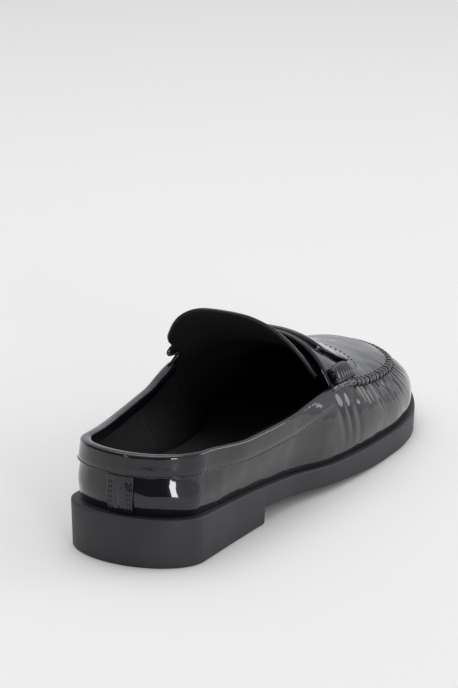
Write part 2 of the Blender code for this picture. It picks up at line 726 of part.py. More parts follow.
def rim_girth(ts):
    """Distance along the lateral rim from the middle of the back to each t."""
    points = rim(ts, 1)
    steps = np.linalg.norm(np.diff(points, axis=0), axis=1)
    return np.concatenate([[0.0], np.cumsum(steps)])


def build_tongue():
    """The flap: tucked under the vamp, then rising backwards to its rounded free edge."""
    span = np.linspace(-1, 1, TONGUE_COLUMNS)
    v = span * TONGUE_EDGE[-1].across
    free = TONGUE_LENGTH * steady_curve(
        [row.across for row in TONGUE_EDGE], [row.back for row in TONGUE_EDGE], v)
    share = np.linspace(0, 1, TONGUE_ROWS)[:, None]
    tucked = -TONGUE_TUCK * np.ones_like(v)
    back = tucked + (free - tucked) * share
    points = tongue_sheet(np.repeat(v[None, :], TONGUE_ROWS, axis=0), back)
    faces = strip_faces(TONGUE_ROWS, len(v))
    tongue = make_mesh("tongue", points.reshape(-1, 3), faces)
    solidify(tongue, TONGUE_THICKNESS, False)
    return finish(tongue, "tongue_patent", (0.010, 0.010, 0.011), 0.15)


def build_saddle_strap():
    """The strap over the instep: wide on top, notched above each roll, ending in front of it."""
    half = np.array([row.across for row in SADDLE])
    span = np.concatenate([-half[:0:-1], half])
    rear = STRAP_REACH * np.interp(np.abs(span), half, [row.rear for row in SADDLE])
    front = STRAP_REACH * np.interp(np.abs(span), half, [row.front for row in SADDLE])
    share = np.linspace(1, 0, STRAP_ROWS)[:, None]
    t = T_THROAT + (rear + (front - rear) * share) * T_PER_METRE
    ends = [np.abs(inside_rim(t, side, SEAM_HALF + SEAT_GAP)) for side in (1, -1)]
    v = np.clip(np.repeat(span[None, :], STRAP_ROWS, axis=0), -ends[1], ends[0])
    strap = panel("saddle_strap", t, v, STRAP_THICKNESS, SEAT_GAP + APRON_THICKNESS + STRAP_GAP)
    return finish(strap, "strap_patent", (0.012, 0.012, 0.014), 0.12)


def build_beefroll(name, side):
    """A sewn roll along the seam at the end of the strap: an oval bar bound by wraps."""
    ts = T_THROAT + np.linspace(0, 1, ROLL_STATIONS) * ROLL_LENGTH * T_PER_METRE
    across_half = ROLL_HEIGHT / 2
    thick_half = ROLL_THICKNESS / 2
    v = inside_rim(ts, side, ROLL_INSET + across_half)
    normal, across, _ = skin_frame(ts, v)
    across = across * side
    bed = SEAT_GAP + APRON_THICKNESS + SEAT_GAP + thick_half
    centre = skin(ts, v, np.full_like(ts, bed))
    share = np.linspace(0, 1, ROLL_STATIONS)
    groove = ROLL_GROOVE * np.abs(np.cos(share * math.pi * ROLL_WRAPS))
    full = np.sqrt(1 - np.abs(2 * share - 1) ** ROLL_END_SQUARE)
    wide, thick = (end + (1 - end) * full for end in ROLL_END)
    half_a = ((across_half - groove) * wide)[:, None, None]
    half_b = ((thick_half - groove * ROLL_GROOVE_TOP) * thick)[:, None, None]
    turn = np.linspace(0, 2 * math.pi, ROLL_SIDES, endpoint=False)[None, :, None]
    ring = centre[:, None] + across[:, None] * half_a * np.cos(turn)
    ring = ring + normal[:, None] * half_b * np.sin(turn)
    roll = make_mesh(name, ring.reshape(-1, 3), bar_faces(ROLL_STATIONS, ROLL_SIDES))
    outwards(roll)
    return finish(roll, name + "_leather", (0.014, 0.014, 0.016), 0.2)


def build_insole():
    """The sock on the sole, a clearance inside the wall."""
    ts = sections()
    inset = WALL + SEAT_GAP * 2

    def rings(side):
        """Lower and upper line of one side."""
        levels = []
        bare = sole_outline(ts, side, 0.0)[1]
        lean = INSOLE_TOE_LEAN * smooth_step(LENGTH - TOE_ARC, LENGTH, bare)
        for rise, share in ((SEAT_GAP, INSOLE_FOOT_LEAN), (SEAT_GAP + INSOLE_THICKNESS, 1.0)):
            x, y, _, _ = sole_outline(ts, side, ledge(bare) + inset + lean * share)
            levels.append(np.stack([x, y, sole_top(bare) + rise], axis=-1))
        return np.stack(levels, axis=1)
    insole = slab("insole", ts, rings)
    return finish(insole, "lining_leather", (0.008, 0.008, 0.009), 0.6)


def outwards(thing):
    """Turn all faces of a closed mesh to the outside."""
    bm = bmesh.new()
    bm.from_mesh(thing.data)
    bmesh.ops.recalc_face_normals(bm, faces=bm.faces)
    bm.to_mesh(thing.data)
    bm.free()


def centre_shift():
    """Sideways shift that brings the sole's widest points as far to each side of the origin."""
    ts = np.linspace(0, 1, SOLE_SECTIONS ** 2)
    lateral, medial = (np.max(np.abs(sole_outline(ts, side, 0.0)[0])) for side in (1, -1))
    return (medial - lateral) / 2


def main():
    """Clear the file, build every piece and stand the shoe on the origin."""
    for thing in list(bpy.data.objects):
        bpy.data.objects.remove(thing)
    shoe = bpy.data.collections.new("loafer_mule")
    bpy.context.scene.collection.children.link(shoe)
    root = bpy.data.objects.new("loafer_mule", None)
    shoe.objects.link(root)
    root.location = (centre_shift(), -LENGTH / 2, 0.0)
    pieces = (
        build_outsole(),
        build_upper(),
        build_insole(),
        build_apron(),
        build_collar_band(),
        build_heel_strip(),
        build_tongue(),
        build_saddle_strap(),
        build_beefroll("beefroll_lateral", 1),
        build_beefroll("beefroll_medial", -1),
    )
    for piece in pieces:
        shoe.objects.link(piece)
        piece.parent = root
    bpy.context.view_layer.update()


main()
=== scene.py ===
"""A black patent loafer mule for the right foot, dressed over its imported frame.

Lengths are in metres. +Y points to the toe, +X to the outer side of the foot and +Z up.
Last holds the shoe's form: one outer skin as a function of t and v. t runs from the back
of the heel (0) to the toe (1) on either side. v is 2 at the sole on the lateral side, 1 on
the lateral rim, -1 on the medial rim and -2 at the sole on the medial side; between 1 and
-1 it crosses the instep. Every leather piece is laid on that skin.
"""
import logging
import math
from collections.abc import Callable
from dataclasses import dataclass
from enum import Enum
from typing import NamedTuple

import bmesh
import bpy
import numpy as np
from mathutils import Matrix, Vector


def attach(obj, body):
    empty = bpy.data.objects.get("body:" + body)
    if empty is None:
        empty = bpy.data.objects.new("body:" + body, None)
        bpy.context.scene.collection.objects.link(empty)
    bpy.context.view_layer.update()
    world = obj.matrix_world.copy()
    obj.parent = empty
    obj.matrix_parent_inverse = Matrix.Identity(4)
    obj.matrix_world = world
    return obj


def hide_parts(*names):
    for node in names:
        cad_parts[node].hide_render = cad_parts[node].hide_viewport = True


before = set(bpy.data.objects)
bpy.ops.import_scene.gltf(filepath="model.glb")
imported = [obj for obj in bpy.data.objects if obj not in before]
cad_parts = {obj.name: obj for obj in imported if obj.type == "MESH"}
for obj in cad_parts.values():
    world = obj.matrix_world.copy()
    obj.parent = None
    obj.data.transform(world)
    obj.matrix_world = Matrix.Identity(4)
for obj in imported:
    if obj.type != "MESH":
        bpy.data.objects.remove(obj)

Array = np.ndarray
LOG = logging.getLogger("loafer_mule")
MM = 0.001
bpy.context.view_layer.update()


class Width(Enum):
    """The driving sizes across the shoe that rows of a table follow."""

    HEEL = 0.065
    WAIST = 0.0662
    BALL = 0.096


class Side(Enum):
    """The two sides of the shoe."""

    LATERAL = 1
    MEDIAL = -1


class SoleRow(NamedTuple):
    """Half widths of the sole at one station, as shares of the width that it follows."""

    along: float
    follows: Width
    lateral: float
    medial: float


class TopRow(NamedTuple):
    """Height of the sole's top edge: share of the heel height and of the forepart's thickness."""

    along: float
    heel: float
    forepart: float


class RimRow(NamedTuple):
    """The upper's rim at one station: half widths, and heights as shares of a driving height."""

    along: float
    follows: Width
    lateral: float
    medial: float
    on_vamp: bool
    lateral_z: float
    medial_z: float


class CrestRow(NamedTuple):
    """Crest of the vamp: its height as a share of the instep's, and how square its arch is."""

    along: float
    height: float
    square: float


class SwellRow(NamedTuple):
    """Outward swell of the wall near the sole and near the rim."""

    along: float
    low: float
    high: float


class EdgeRow(NamedTuple):
    """Free edge of the tongue: place across, and share of its length behind the throat."""

    across: float
    back: float


class StrapRow(NamedTuple):
    """Rear and front edge of the strap ahead of the throat, as shares of its reach."""

    across: float
    rear: float
    front: float


class Fold(NamedTuple):
    """A soft trough (depth over 0) or ridge in the wall or vamp.

    at is its middle along t, v its middle across, reach and girth its half lengths along
    the shoe and across it in metres, lean how far it slants, and depth its depth.
    """

    side: Side
    at: float
    v: float
    reach: float
    girth: float
    lean: float
    depth: float


SOLE_OUTLINE = (
    SoleRow(0.000, Width.HEEL, 0.480, 0.480),
    SoleRow(0.075, Width.HEEL, 0.495, 0.494),
    SoleRow(0.226, Width.HEEL, 0.526, 0.509),
    SoleRow(0.357, Width.WAIST, 0.559, 0.441),
    SoleRow(0.489, Width.BALL, 0.465, 0.360),
    SoleRow(0.620, Width.BALL, 0.501, 0.472),
    SoleRow(0.714, Width.BALL, 0.503, 0.492),
    SoleRow(0.808, Width.BALL, 0.472, 0.482),
    SoleRow(0.902, Width.BALL, 0.425, 0.452),
    SoleRow(1.000, Width.BALL, 0.390, 0.425),
)
SOLE_TOP = (
    TopRow(0.000, 1.000, 0.00),
    TopRow(0.226, 0.848, 0.00),
    TopRow(0.357, 0.710, 0.00),
    TopRow(0.489, 0.580, 0.00),
    TopRow(0.620, 0.000, 1.09),
    TopRow(0.714, 0.000, 1.03),
    TopRow(0.790, 0.000, 1.06),
)
UPPER_RIM = (
    RimRow(0.024, Width.HEEL, 0.415, 0.415, False, 1.000, 1.000),
    RimRow(0.094, Width.HEEL, 0.435, 0.440, False, 0.985, 0.965),
    RimRow(0.226, Width.HEEL, 0.520, 0.530, False, 0.912, 0.912),
    RimRow(0.357, Width.HEEL, 0.562, 0.590, False, 0.909, 0.930),
    RimRow(0.489, Width.BALL, 0.382, 0.434, False, 0.941, 1.020),
    RimRow(0.564, Width.BALL, 0.388, 0.428, True, 0.640, 0.710),
    RimRow(0.620, Width.BALL, 0.400, 0.418, True, 0.590, 0.640),
    RimRow(0.695, Width.BALL, 0.392, 0.398, True, 0.548, 0.570),
    RimRow(0.770, Width.BALL, 0.368, 0.378, True, 0.525, 0.532),
    RimRow(0.846, Width.BALL, 0.338, 0.354, True, 0.512, 0.514),
    RimRow(0.902, Width.BALL, 0.305, 0.330, True, 0.505, 0.505),
)
VAMP_CREST = (
    CrestRow(0.500, 1.030, 3.4),
    CrestRow(0.564, 0.920, 3.1),
    CrestRow(0.620, 0.805, 2.8),
    CrestRow(0.695, 0.690, 2.5),
    CrestRow(0.770, 0.625, 2.3),
    CrestRow(0.846, 0.582, 2.2),
    CrestRow(0.902, 0.545, 2.0),
)
WALL_SWELL = (
    SwellRow(0.000, 0.0020, 0.0010),
    SwellRow(0.226, 0.0010, 0.0010),
    SwellRow(0.357, 0.0015, 0.0025),
    SwellRow(0.489, 0.0030, 0.0060),
    SwellRow(0.620, 0.0030, 0.0075),
    SwellRow(0.808, 0.0032, 0.0090),
    SwellRow(0.902, 0.0040, 0.0115),
    SwellRow(1.000, 0.0045, 0.0130),
)
TONGUE_EDGE = (
    EdgeRow(-0.90, 0.10),
    EdgeRow(-0.88, 0.54),
    EdgeRow(-0.80, 0.70),
    EdgeRow(-0.60, 0.88),
    EdgeRow(-0.25, 1.00),
    EdgeRow(0.10, 0.97),
    EdgeRow(0.40, 0.80),
    EdgeRow(0.65, 0.54),
    EdgeRow(0.80, 0.32),
    EdgeRow(0.90, 0.08),
)
SADDLE = (
    StrapRow(0.00, 0.15, 1.00),
    StrapRow(0.20, 0.15, 1.00),
    StrapRow(0.35, 0.16, 1.00),
    StrapRow(0.46, 0.17, 0.99),
    StrapRow(0.56, 0.19, 0.99),
    StrapRow(0.63, 0.22, 0.98),
    StrapRow(0.68, 0.28, 0.97),
    StrapRow(0.72, 0.52, 0.96),
    StrapRow(0.75, 0.74, 0.94),
    StrapRow(0.80, 0.61, 0.91),
    StrapRow(0.86, 0.52, 0.84),
    StrapRow(0.91, 0.48, 0.72),
    StrapRow(0.96, 0.47, 0.60),
)
# Soft streaks that run down the vamp from the roll, and shallow flex troughs before the strap
FOLDS = (
    Fold(Side.LATERAL, 0.500, 1.45, 0.0022, 0.0120, 0.10, 0.00035),
    Fold(Side.LATERAL, 0.524, 1.40, 0.0018, 0.0110, 0.16, 0.00040),
    Fold(Side.LATERAL, 0.548, 1.50, 0.0024, 0.0130, 0.22, 0.00030),
    Fold(Side.LATERAL, 0.330, 1.55, 0.0300, 0.0050, 0.00, -0.00035),
    Fold(Side.LATERAL, 0.080, 1.72, 0.0300, 0.0052, 0.00, -0.00110),
    Fold(Side.LATERAL, 0.125, 1.40, 0.0090, 0.0050, 0.00, 0.00045),
    Fold(Side.MEDIAL, 0.060, 1.70, 0.0120, 0.0052, 0.00, -0.00050),
    Fold(Side.MEDIAL, 0.150, 1.60, 0.0240, 0.0060, 0.00, -0.00060),
    Fold(Side.MEDIAL, 0.505, 1.45, 0.0022, 0.0120, 0.12, 0.00035),
    Fold(Side.MEDIAL, 0.535, 1.42, 0.0020, 0.0120, 0.18, 0.00035),
    Fold(Side.MEDIAL, 0.300, 1.55, 0.0280, 0.0050, 0.00, -0.00030),
    Fold(Side.LATERAL, 0.630, 0.40, 0.0022, 0.0200, 0.30, 0.00030),
    Fold(Side.MEDIAL, 0.620, 0.45, 0.0022, 0.0180, 0.35, 0.00028),
    Fold(Side.LATERAL, 0.668, 0.20, 0.0026, 0.0240, 0.10, 0.00024),
)


def steady_curve(xs: Array, ys: Array, x: Array) -> Array:
    """Read a smooth curve through points without overshoot.

    Each stretch is a cubic between two points whose slopes are the weighted harmonic mean
    of the slopes beside them, or nothing where the curve turns.

    Args:
        xs: Places of the points, rising.
        ys: Values at those places.
        x: Places to read.

    Returns:
        The curve's values at x.
    """
    xs, ys = np.asarray(xs, float), np.asarray(ys, float)
    x = np.clip(np.asarray(x, float), xs[0], xs[-1])
    step = np.diff(xs)
    slope = np.diff(ys) / step
    tangent = np.zeros_like(ys)
    weight_a, weight_b = 2 * step[1:] + step[:-1], step[1:] + 2 * step[:-1]
    with np.errstate(divide="ignore", invalid="ignore"):
        mean = (weight_a + weight_b) / (weight_a / slope[:-1] + weight_b / slope[1:])
    tangent[1:-1] = np.where(slope[:-1] * slope[1:] > 0, mean, 0.0)
    tangent[0], tangent[-1] = slope[0], slope[-1]
    i = np.clip(np.searchsorted(xs, x, side="right") - 1, 0, len(xs) - 2)
    h = step[i]
    s = (x - xs[i]) / h
    value = (1 + 2 * s) * (1 - s) ** 2 * ys[i] + s * s * (3 - 2 * s) * ys[i + 1]
    return value + h * s * (1 - s) ** 2 * tangent[i] - h * s * s * (1 - s) * tangent[i + 1]


def smooth_step(low: float, high: float, x: Array) -> Array:
    """Rise from 0 at low to 1 at high with flat ends: 3 s squared less 2 s cubed."""
    s = np.clip((np.asarray(x, float) - low) / (high - low), 0.0, 1.0)
    return s * s * (3 - 2 * s)


def unit(vectors: Array) -> Array:
    """Scale vectors to length 1."""
    return vectors / np.maximum(np.linalg.norm(vectors, axis=-1, keepdims=True), 1e-12)


@dataclass(frozen=True)
class Last:
    """The shoe's form, worked out from its driving sizes and the tables above."""

    length: float = 0.266
    heel_height: float = 0.0223
    instep_height: float = 0.0690
    topline_back: float = 0.0493
    heel_arc: float = 0.020
    toe_arc: float = 0.058
    toe_swing: float = -0.005
    breast_at: float = 0.072
    breast_height: float = 0.0075
    ball_flat_from: float = 0.174
    ball_flat_to: float = 0.206
    toe_spring: float = 0.0085
    sole_thickness: float = 0.0112
    wall: float = 0.0020
    gap: float = 0.0003
    ledge_back: float = 0.0050
    ledge_side: float = 0.0030
    collar_back_at: float = 0.0063
    collar_arc: float = 0.0190
    seam_front_at: float = 0.2400
    seam_arc: float = 0.0400
    toe_close: float = 0.0120
    throat_at: float = 0.1310
    throat_bow: float = 0.0090
    throat_skew: float = 0.0050
    crest_shift: float = 0.02
    band_thickness: float = 0.0012
    roll_length: float = 0.0185
    apron_thickness: float = 0.0011
    heel_share: float = 0.13
    toe_share: float = 0.74

    @property
    def per_metre(self) -> float:
        """Change of t for a metre along the straight part of the rim."""
        run = self.seam_front_at - self.seam_arc - self.collar_back_at - self.collar_arc
        return (self.toe_share - self.heel_share) / run

    @property
    def throat(self) -> float:
        """Value of t at the throat."""
        return self.heel_share + (self.throat_at - self.collar_back_at - self.collar_arc) * self.per_metre

    def column(self, table: tuple, value: Callable, y: Array) -> Array:
        """Read one column of a table at the distances y from the heel's back."""
        return steady_curve([row.along * self.length for row in table], [value(row) for row in table], y)

    def plan(self, t: Array, side: int, ends: tuple, arcs: tuple, half: Callable) -> tuple:
        """Walk an outline: quarter-ellipse back, straight run, quarter-ellipse toe.

        Args:
            t: Shares along the outline.
            side: 1 for lateral, -1 for medial.
            ends: y of the back and of the front.
            arcs: Depth of the rounded back and of the rounded toe.
            half: Half width as a function of y.

        Returns:
            x and y of the outline.
        """
        heel_turn = np.clip(t / self.heel_share, 0, 1) * math.pi / 2
        toe_turn = np.clip((t - self.toe_share) / (1 - self.toe_share), 0, 1) * math.pi / 2
        run = np.clip((t - self.heel_share) / (self.toe_share - self.heel_share), 0, 1)
        y = ends[0] + arcs[0] * (1 - np.cos(heel_turn)) + arcs[1] * np.sin(toe_turn)
        y = y + run * (ends[1] - arcs[1] - ends[0] - arcs[0])
        closing = np.cos(toe_turn)
        x = side * half(y) * np.sin(heel_turn)
        return self.toe_swing * (1 - closing) + x * closing, y

    def sole_outline(self, t: Array, side: int, inset: Array) -> tuple:
        """Outline of the sole moved inwards along its own normal, with that normal."""
        t = np.asarray(t, float)

        def half(y: Array) -> Array:
            return self.column(
                SOLE_OUTLINE, lambda r: r.follows.value * (r.lateral if side > 0 else r.medial), y)

        def at(u: Array) -> tuple:
            return self.plan(u, side, (0.0, self.length), (self.heel_arc, self.toe_arc), half)
        x, y = at(t)
        xa, ya = at(np.clip(t - 1e-4, 0, 1))
        xb, yb = at(np.clip(t + 1e-4, 0, 1))
        size = np.hypot(xb - xa, yb - ya)
        out_x, out_y = side * (yb - ya) / size, -side * (xb - xa) / size
        on_axis = (t <= 0) | (t >= 1)
        out_y = np.where(on_axis, np.where(t <= 0, -1.0, 1.0), out_y)
        out_x = np.where(on_axis, 0.0, out_x)
        return x - out_x * inset, y - out_y * inset, out_x, out_y

    def spring(self, y: Array) -> Array:
        """Rise of the toe in front of the ball: the square of the share of the way to the tip."""
        return self.toe_spring * np.clip((y - self.ball_flat_to) / (self.length - self.ball_flat_to), 0, 1) ** 2

    def sole_top(self, y: Array) -> Array:
        """Height of the sole's top edge."""
        level = self.column(
            SOLE_TOP, lambda r: r.heel * self.heel_height + r.forepart * self.sole_thickness, y)
        return level + self.spring(y)

    def sole_under(self, y: Array) -> Array:
        """Height of the underside: flat heel, upright breast, arch, flat ball, toe spring."""
        arch = np.clip((self.ball_flat_from - y) / (self.ball_flat_from - self.breast_at - 0.0008), 0, 1)
        rise = self.breast_height * arch ** 1.2
        return np.where(y <= self.breast_at, 0.0, rise) + self.spring(y)

    def ledge(self, y: Array) -> Array:
        """Width of the sole's rim left bare outside the upper."""
        return self.ledge_back + (self.ledge_side - self.ledge_back) * smooth_step(0.0, self.heel_arc * 2, y)

    def skewed(self, t: Array, side: int) -> Array:
        """Shift t forward on the lateral side and back on the medial side near the throat."""
        straight = self.length - self.heel_arc - self.toe_arc
        shift = self.throat_skew * (self.toe_share - self.heel_share) / straight
        near = smooth_step(self.heel_share, self.throat, t) * (1 - smooth_step(self.throat, self.toe_share, t))
        return t + side * shift * near

    def rim(self, t: Array, side: int) -> Array:
        """Points of the upper's rim: under the collar band behind, the seam in front."""
        def half(y: Array) -> Array:
            return self.column(
                UPPER_RIM, lambda r: r.follows.value * (r.lateral if side > 0 else r.medial), y)

        def rise(row: RimRow) -> float:
            share = row.lateral_z if side > 0 else row.medial_z
            return share * (self.instep_height if row.on_vamp else self.topline_back)
        ends = (self.collar_back_at, self.seam_front_at)
        x, y = self.plan(self.skewed(t, side), side, ends, (self.collar_arc, self.seam_arc), half)
        z = self.column(UPPER_RIM, rise, y)
        fade = 1 - smooth_step(self.throat_at, self.throat_at + self.roll_length, y)
        return np.stack([x, y, z - (self.band_thickness + self.gap) * fade], axis=-1)

    def wall_skin(self, t: Array, side: int, q: Array) -> Array:
        """Wall from the sole (q = 0) to the rim (q = 1).

        Each section is a cubic curve whose two middle handles stand outwards by the swell.
        """
        q = q[..., None]
        ts = self.skewed(t, side)
        y = self.sole_outline(ts, side, 0.0)[1]
        bx, by, out_x, out_y = self.sole_outline(ts, side, self.ledge(y))
        foot = np.stack([bx, by, self.sole_top(by) + self.gap], axis=-1)
        top = self.rim(t, side)
        rise = (top[..., 2] - foot[..., 2])[..., None] * np.array([0.0, 0.0, 1.0])
        outward = np.stack([out_x, out_y, np.zeros_like(out_x)], axis=-1)
        low = self.column(WALL_SWELL, lambda r: r.low, by)[..., None]
        high = self.column(WALL_SWELL, lambda r: r.high, by)[..., None]
        a = foot + outward * low + rise * 0.33
        b = top + outward * high - rise * 0.33
        return foot * (1 - q) ** 3 + a * 3 * q * (1 - q) ** 2 + b * 3 * q * q * (1 - q) + top * q ** 3

    def arch_skin(self, t: Array, v: Array) -> Array:
        """Skin across the instep: a line from rim to rim, lifted by 1 less |v| to a power.

        The lift runs out to nothing over the last toe_close before the seam's front.
        """
        lateral, medial = self.rim(t, 1), self.rim(t, -1)
        base = medial + (lateral - medial) * ((v + 1) / 2)[..., None]
        middle = (lateral[..., 1] + medial[..., 1]) / 2
        fade = 1 - smooth_step(self.throat_at, self.seam_front_at, middle)
        bow = self.throat_bow * fade * (1 - v * v)
        rim_gap = lateral[..., 2] - medial[..., 2]
        crest_base = medial[..., 2] + rim_gap * (1 - self.crest_shift) / 2
        crest_y = middle + self.throat_bow * fade
        height = self.column(VAMP_CREST, lambda r: r.height * self.instep_height, crest_y)
        square = self.column(VAMP_CREST, lambda r: r.square, crest_y)
        lean = v + self.crest_shift * (1 - v * v)
        closing = 1 - smooth_step(self.seam_front_at - self.toe_close, self.seam_front_at, middle)
        swell = (height - crest_base) * (1 - np.abs(lean) ** square) * closing
        return base + np.stack([np.zeros_like(swell), bow, swell], axis=-1)

    def bare_skin(self, t: Array, v: Array) -> Array:
        """Outer skin without relief, anywhere on the upper."""
        t, v = np.broadcast_arrays(np.asarray(t, float), np.asarray(v, float))
        over = self.arch_skin(t, np.clip(v, -1, 1))
        wall = np.where(
            (v > 0)[..., None],
            self.wall_skin(t, 1, np.clip(2 - v, 0, 1)),
            self.wall_skin(t, -1, np.clip(2 + v, 0, 1)),
        )
        return np.where((np.abs(v) > 1)[..., None], wall, over)

    def skin_frame(self, t: Array, v: Array) -> tuple:
        """Outward normal of the skin, its direction across, and its length for a unit of v."""
        t, v = np.broadcast_arrays(np.asarray(t, float), np.asarray(v, float))
        step = 0.004
        inner = np.where(
            np.abs(v) >= 1,
            np.sign(v) * np.clip(np.abs(v), 1 + step, 2 - step),
            np.clip(v, step - 1, 1 - step),
        )
        across = self.bare_skin(t, inner + step) - self.bare_skin(t, inner - step)
        along = self.bare_skin(np.clip(t + step, 0, 1), v) - self.bare_skin(np.clip(t - step, 0, 1), v)
        on_axis = ((t <= 0) | (t >= 1))[..., None]
        along = np.where(on_axis, along * np.array([1.0, 0.0, 0.0]), along)
        speed = np.linalg.norm(across, axis=-1) / (2 * step)
        return unit(np.cross(across, along)), unit(across), speed

    def skin(self, t: Array, v: Array, proud: Array | float = 0.0) -> Array:
        """Point standing proud of the outer skin along its normal."""
        t, v = np.broadcast_arrays(np.asarray(t, float), np.asarray(v, float))
        normal, _, speed = self.skin_frame(t, v)
        height = np.broadcast_to(proud, t.shape) + self.folded(t, v, speed)
        return self.bare_skin(t, v) + normal * height[..., None]

    def folded(self, t: Array, v: Array, speed: Array) -> Array:
        """Height of all soft folds over the skin: each is a bell across it and a bell along it."""
        height = np.zeros(t.shape)
        for fold in FOLDS:
            across = (v * fold.side.value - fold.v) * speed
            along = (t - fold.at) / self.per_metre + across * fold.lean
            mine = (v * fold.side.value > 0) | (fold.v < 0.9)
            height -= mine * fold.depth * np.exp(-(along / fold.reach) ** 2 - (across / fold.girth) ** 2)
        return height

    def from_rim(self, t: Array, side: int, distance: Array | float) -> Array:
        """Value of v at a distance from the rim: inwards up the vamp, or down the wall if below 0."""
        t, distance = np.broadcast_arrays(np.asarray(t, float), np.asarray(distance, float))
        near = np.where(distance > 0, 0.97, 1.03)
        speed = self.skin_frame(t, side * near)[2]
        return side * (1 - distance / speed)

    def rim_run(self, side: int, count: int = 600) -> tuple:
        """Distances along the rim from the back, with the values of t there."""
        ts = np.linspace(0, 1, count)
        steps = np.linalg.norm(np.diff(self.rim(ts, side), axis=0), axis=1)
        return np.concatenate([[0.0], np.cumsum(steps)]), ts

    def place(self, points: Array) -> Array:
        """Move points from the heel's back to the centre of the shoe's box on the floor."""
        ts = np.linspace(0, 1, 400)
        widest = [np.max(np.abs(self.sole_outline(ts, side, 0.0)[0])) for side in (1, -1)]
        return points + np.array([(widest[1] - widest[0]) / 2, -self.length / 2, 0.0])


LAST = Last()


def linear(hex_colour: str) -> tuple[float, float, float, float]:
    """Turn an sRGB hex colour into linear light, with full alpha."""
    parts = [int(hex_colour[i:i + 2], 16) / 255 for i in (1, 3, 5)]
    curve = [c / 12.92 if c <= 0.04045 else ((c + 0.055) / 1.055) ** 2.4 for c in parts]
    return (*curve, 1.0)


def node(tree: bpy.types.NodeTree, kind: str, settings: dict, links: dict) -> bpy.types.Node:
    """Add a node with its settings and links.

    Args:
        tree: The material's tree.
        kind: The node's type name.
        settings: Values by input name, or by attribute name where no input has it.
        links: Output sockets by the name of the input that they feed.

    Returns:
        The new node.
    """
    made = tree.nodes.new(kind)
    for name, value in settings.items():
        if name in made.inputs:
            made.inputs[name].default_value = value
        else:
            setattr(made, name, value)
    for name, socket in links.items():
        tree.links.new(socket, made.inputs[name])
    return made


@dataclass(frozen=True)
class Patent:
    """Patent leather: calf under a clear flexible film, deep black with sharp reflections.

    The eye gets mirror-like streaks that waver with the leather's soft undulation, and a
    faint crinkle where the film has been flexed.
    """

    name: str
    dark: str = "#0a0b0f"
    light: str = "#111218"
    wave: float = 17 * MM
    wave_depth: float = 1.3 * MM
    crinkle: float = 2.4 * MM
    crinkle_depth: float = 0.07 * MM
    crinkle_rise: float = 0.3
    roughness: float = 0.30
    under_film: float = 0.06
    coat_roughness: float = 0.04

    def build(self) -> bpy.types.Material:
        """Make the material: coated black with two bumps and a slight change of depth."""
        material = bpy.data.materials.new(self.name)
        material.use_nodes = True
        tree = material.node_tree
        shader = tree.nodes["Principled BSDF"]
        place = node(tree, "ShaderNodeTexCoord", {}, {}).outputs["Object"]
        wave = node(tree, "ShaderNodeTexNoise", {"Scale": 1 / self.wave, "Detail": 1.5}, {"Vector": place})
        drawn = node(tree, "ShaderNodeMapping", {"Scale": (1.0, 1.0, self.crinkle_rise)}, {"Vector": place})
        fine = node(tree, "ShaderNodeTexNoise", {"Scale": 1 / self.crinkle, "Detail": 3.0, "Distortion": 0.8},
                    {"Vector": drawn.outputs["Vector"]})
        patch = node(tree, "ShaderNodeTexNoise", {"Scale": 1 / (3 * self.wave), "Detail": 1.0}, {"Vector": place})
        spread = node(tree, "ShaderNodeMapRange", {"From Min": 0.35, "From Max": 0.65, "To Min": 0.0,
                                                   "To Max": 1.0}, {"Value": patch.outputs["Fac"]})
        colour = node(tree, "ShaderNodeMix", {"data_type": "RGBA"}, {"Factor": spread.outputs["Result"]})
        colour.inputs[6].default_value = linear(self.dark)
        colour.inputs[7].default_value = linear(self.light)
        gloss = node(tree, "ShaderNodeMapRange", {"To Min": self.roughness * 0.8, "To Max": self.roughness * 1.3},
                     {"Value": fine.outputs["Fac"]})
        soft = node(tree, "ShaderNodeBump", {"Strength": 0.6, "Distance": self.wave_depth},
                    {"Height": wave.outputs["Fac"]})
        bump = node(tree, "ShaderNodeBump", {"Strength": 0.6, "Distance": self.crinkle_depth},
                    {"Height": fine.outputs["Fac"], "Normal": soft.outputs["Normal"]})
        tree.links.new(colour.outputs[2], shader.inputs["Base Color"])
        tree.links.new(gloss.outputs["Result"], shader.inputs["Roughness"])
        tree.links.new(bump.outputs["Normal"], shader.inputs["Normal"])
        tree.links.new(bump.outputs["Normal"], shader.inputs["Coat Normal"])
        shader.inputs["IOR"].default_value = 1.5
        shader.inputs["Specular IOR Level"].default_value = self.under_film
        shader.inputs["Coat Weight"].default_value = 1.0
        shader.inputs["Coat Roughness"].default_value = self.coat_roughness
        shader.inputs["Coat IOR"].default_value = 1.52
        return material


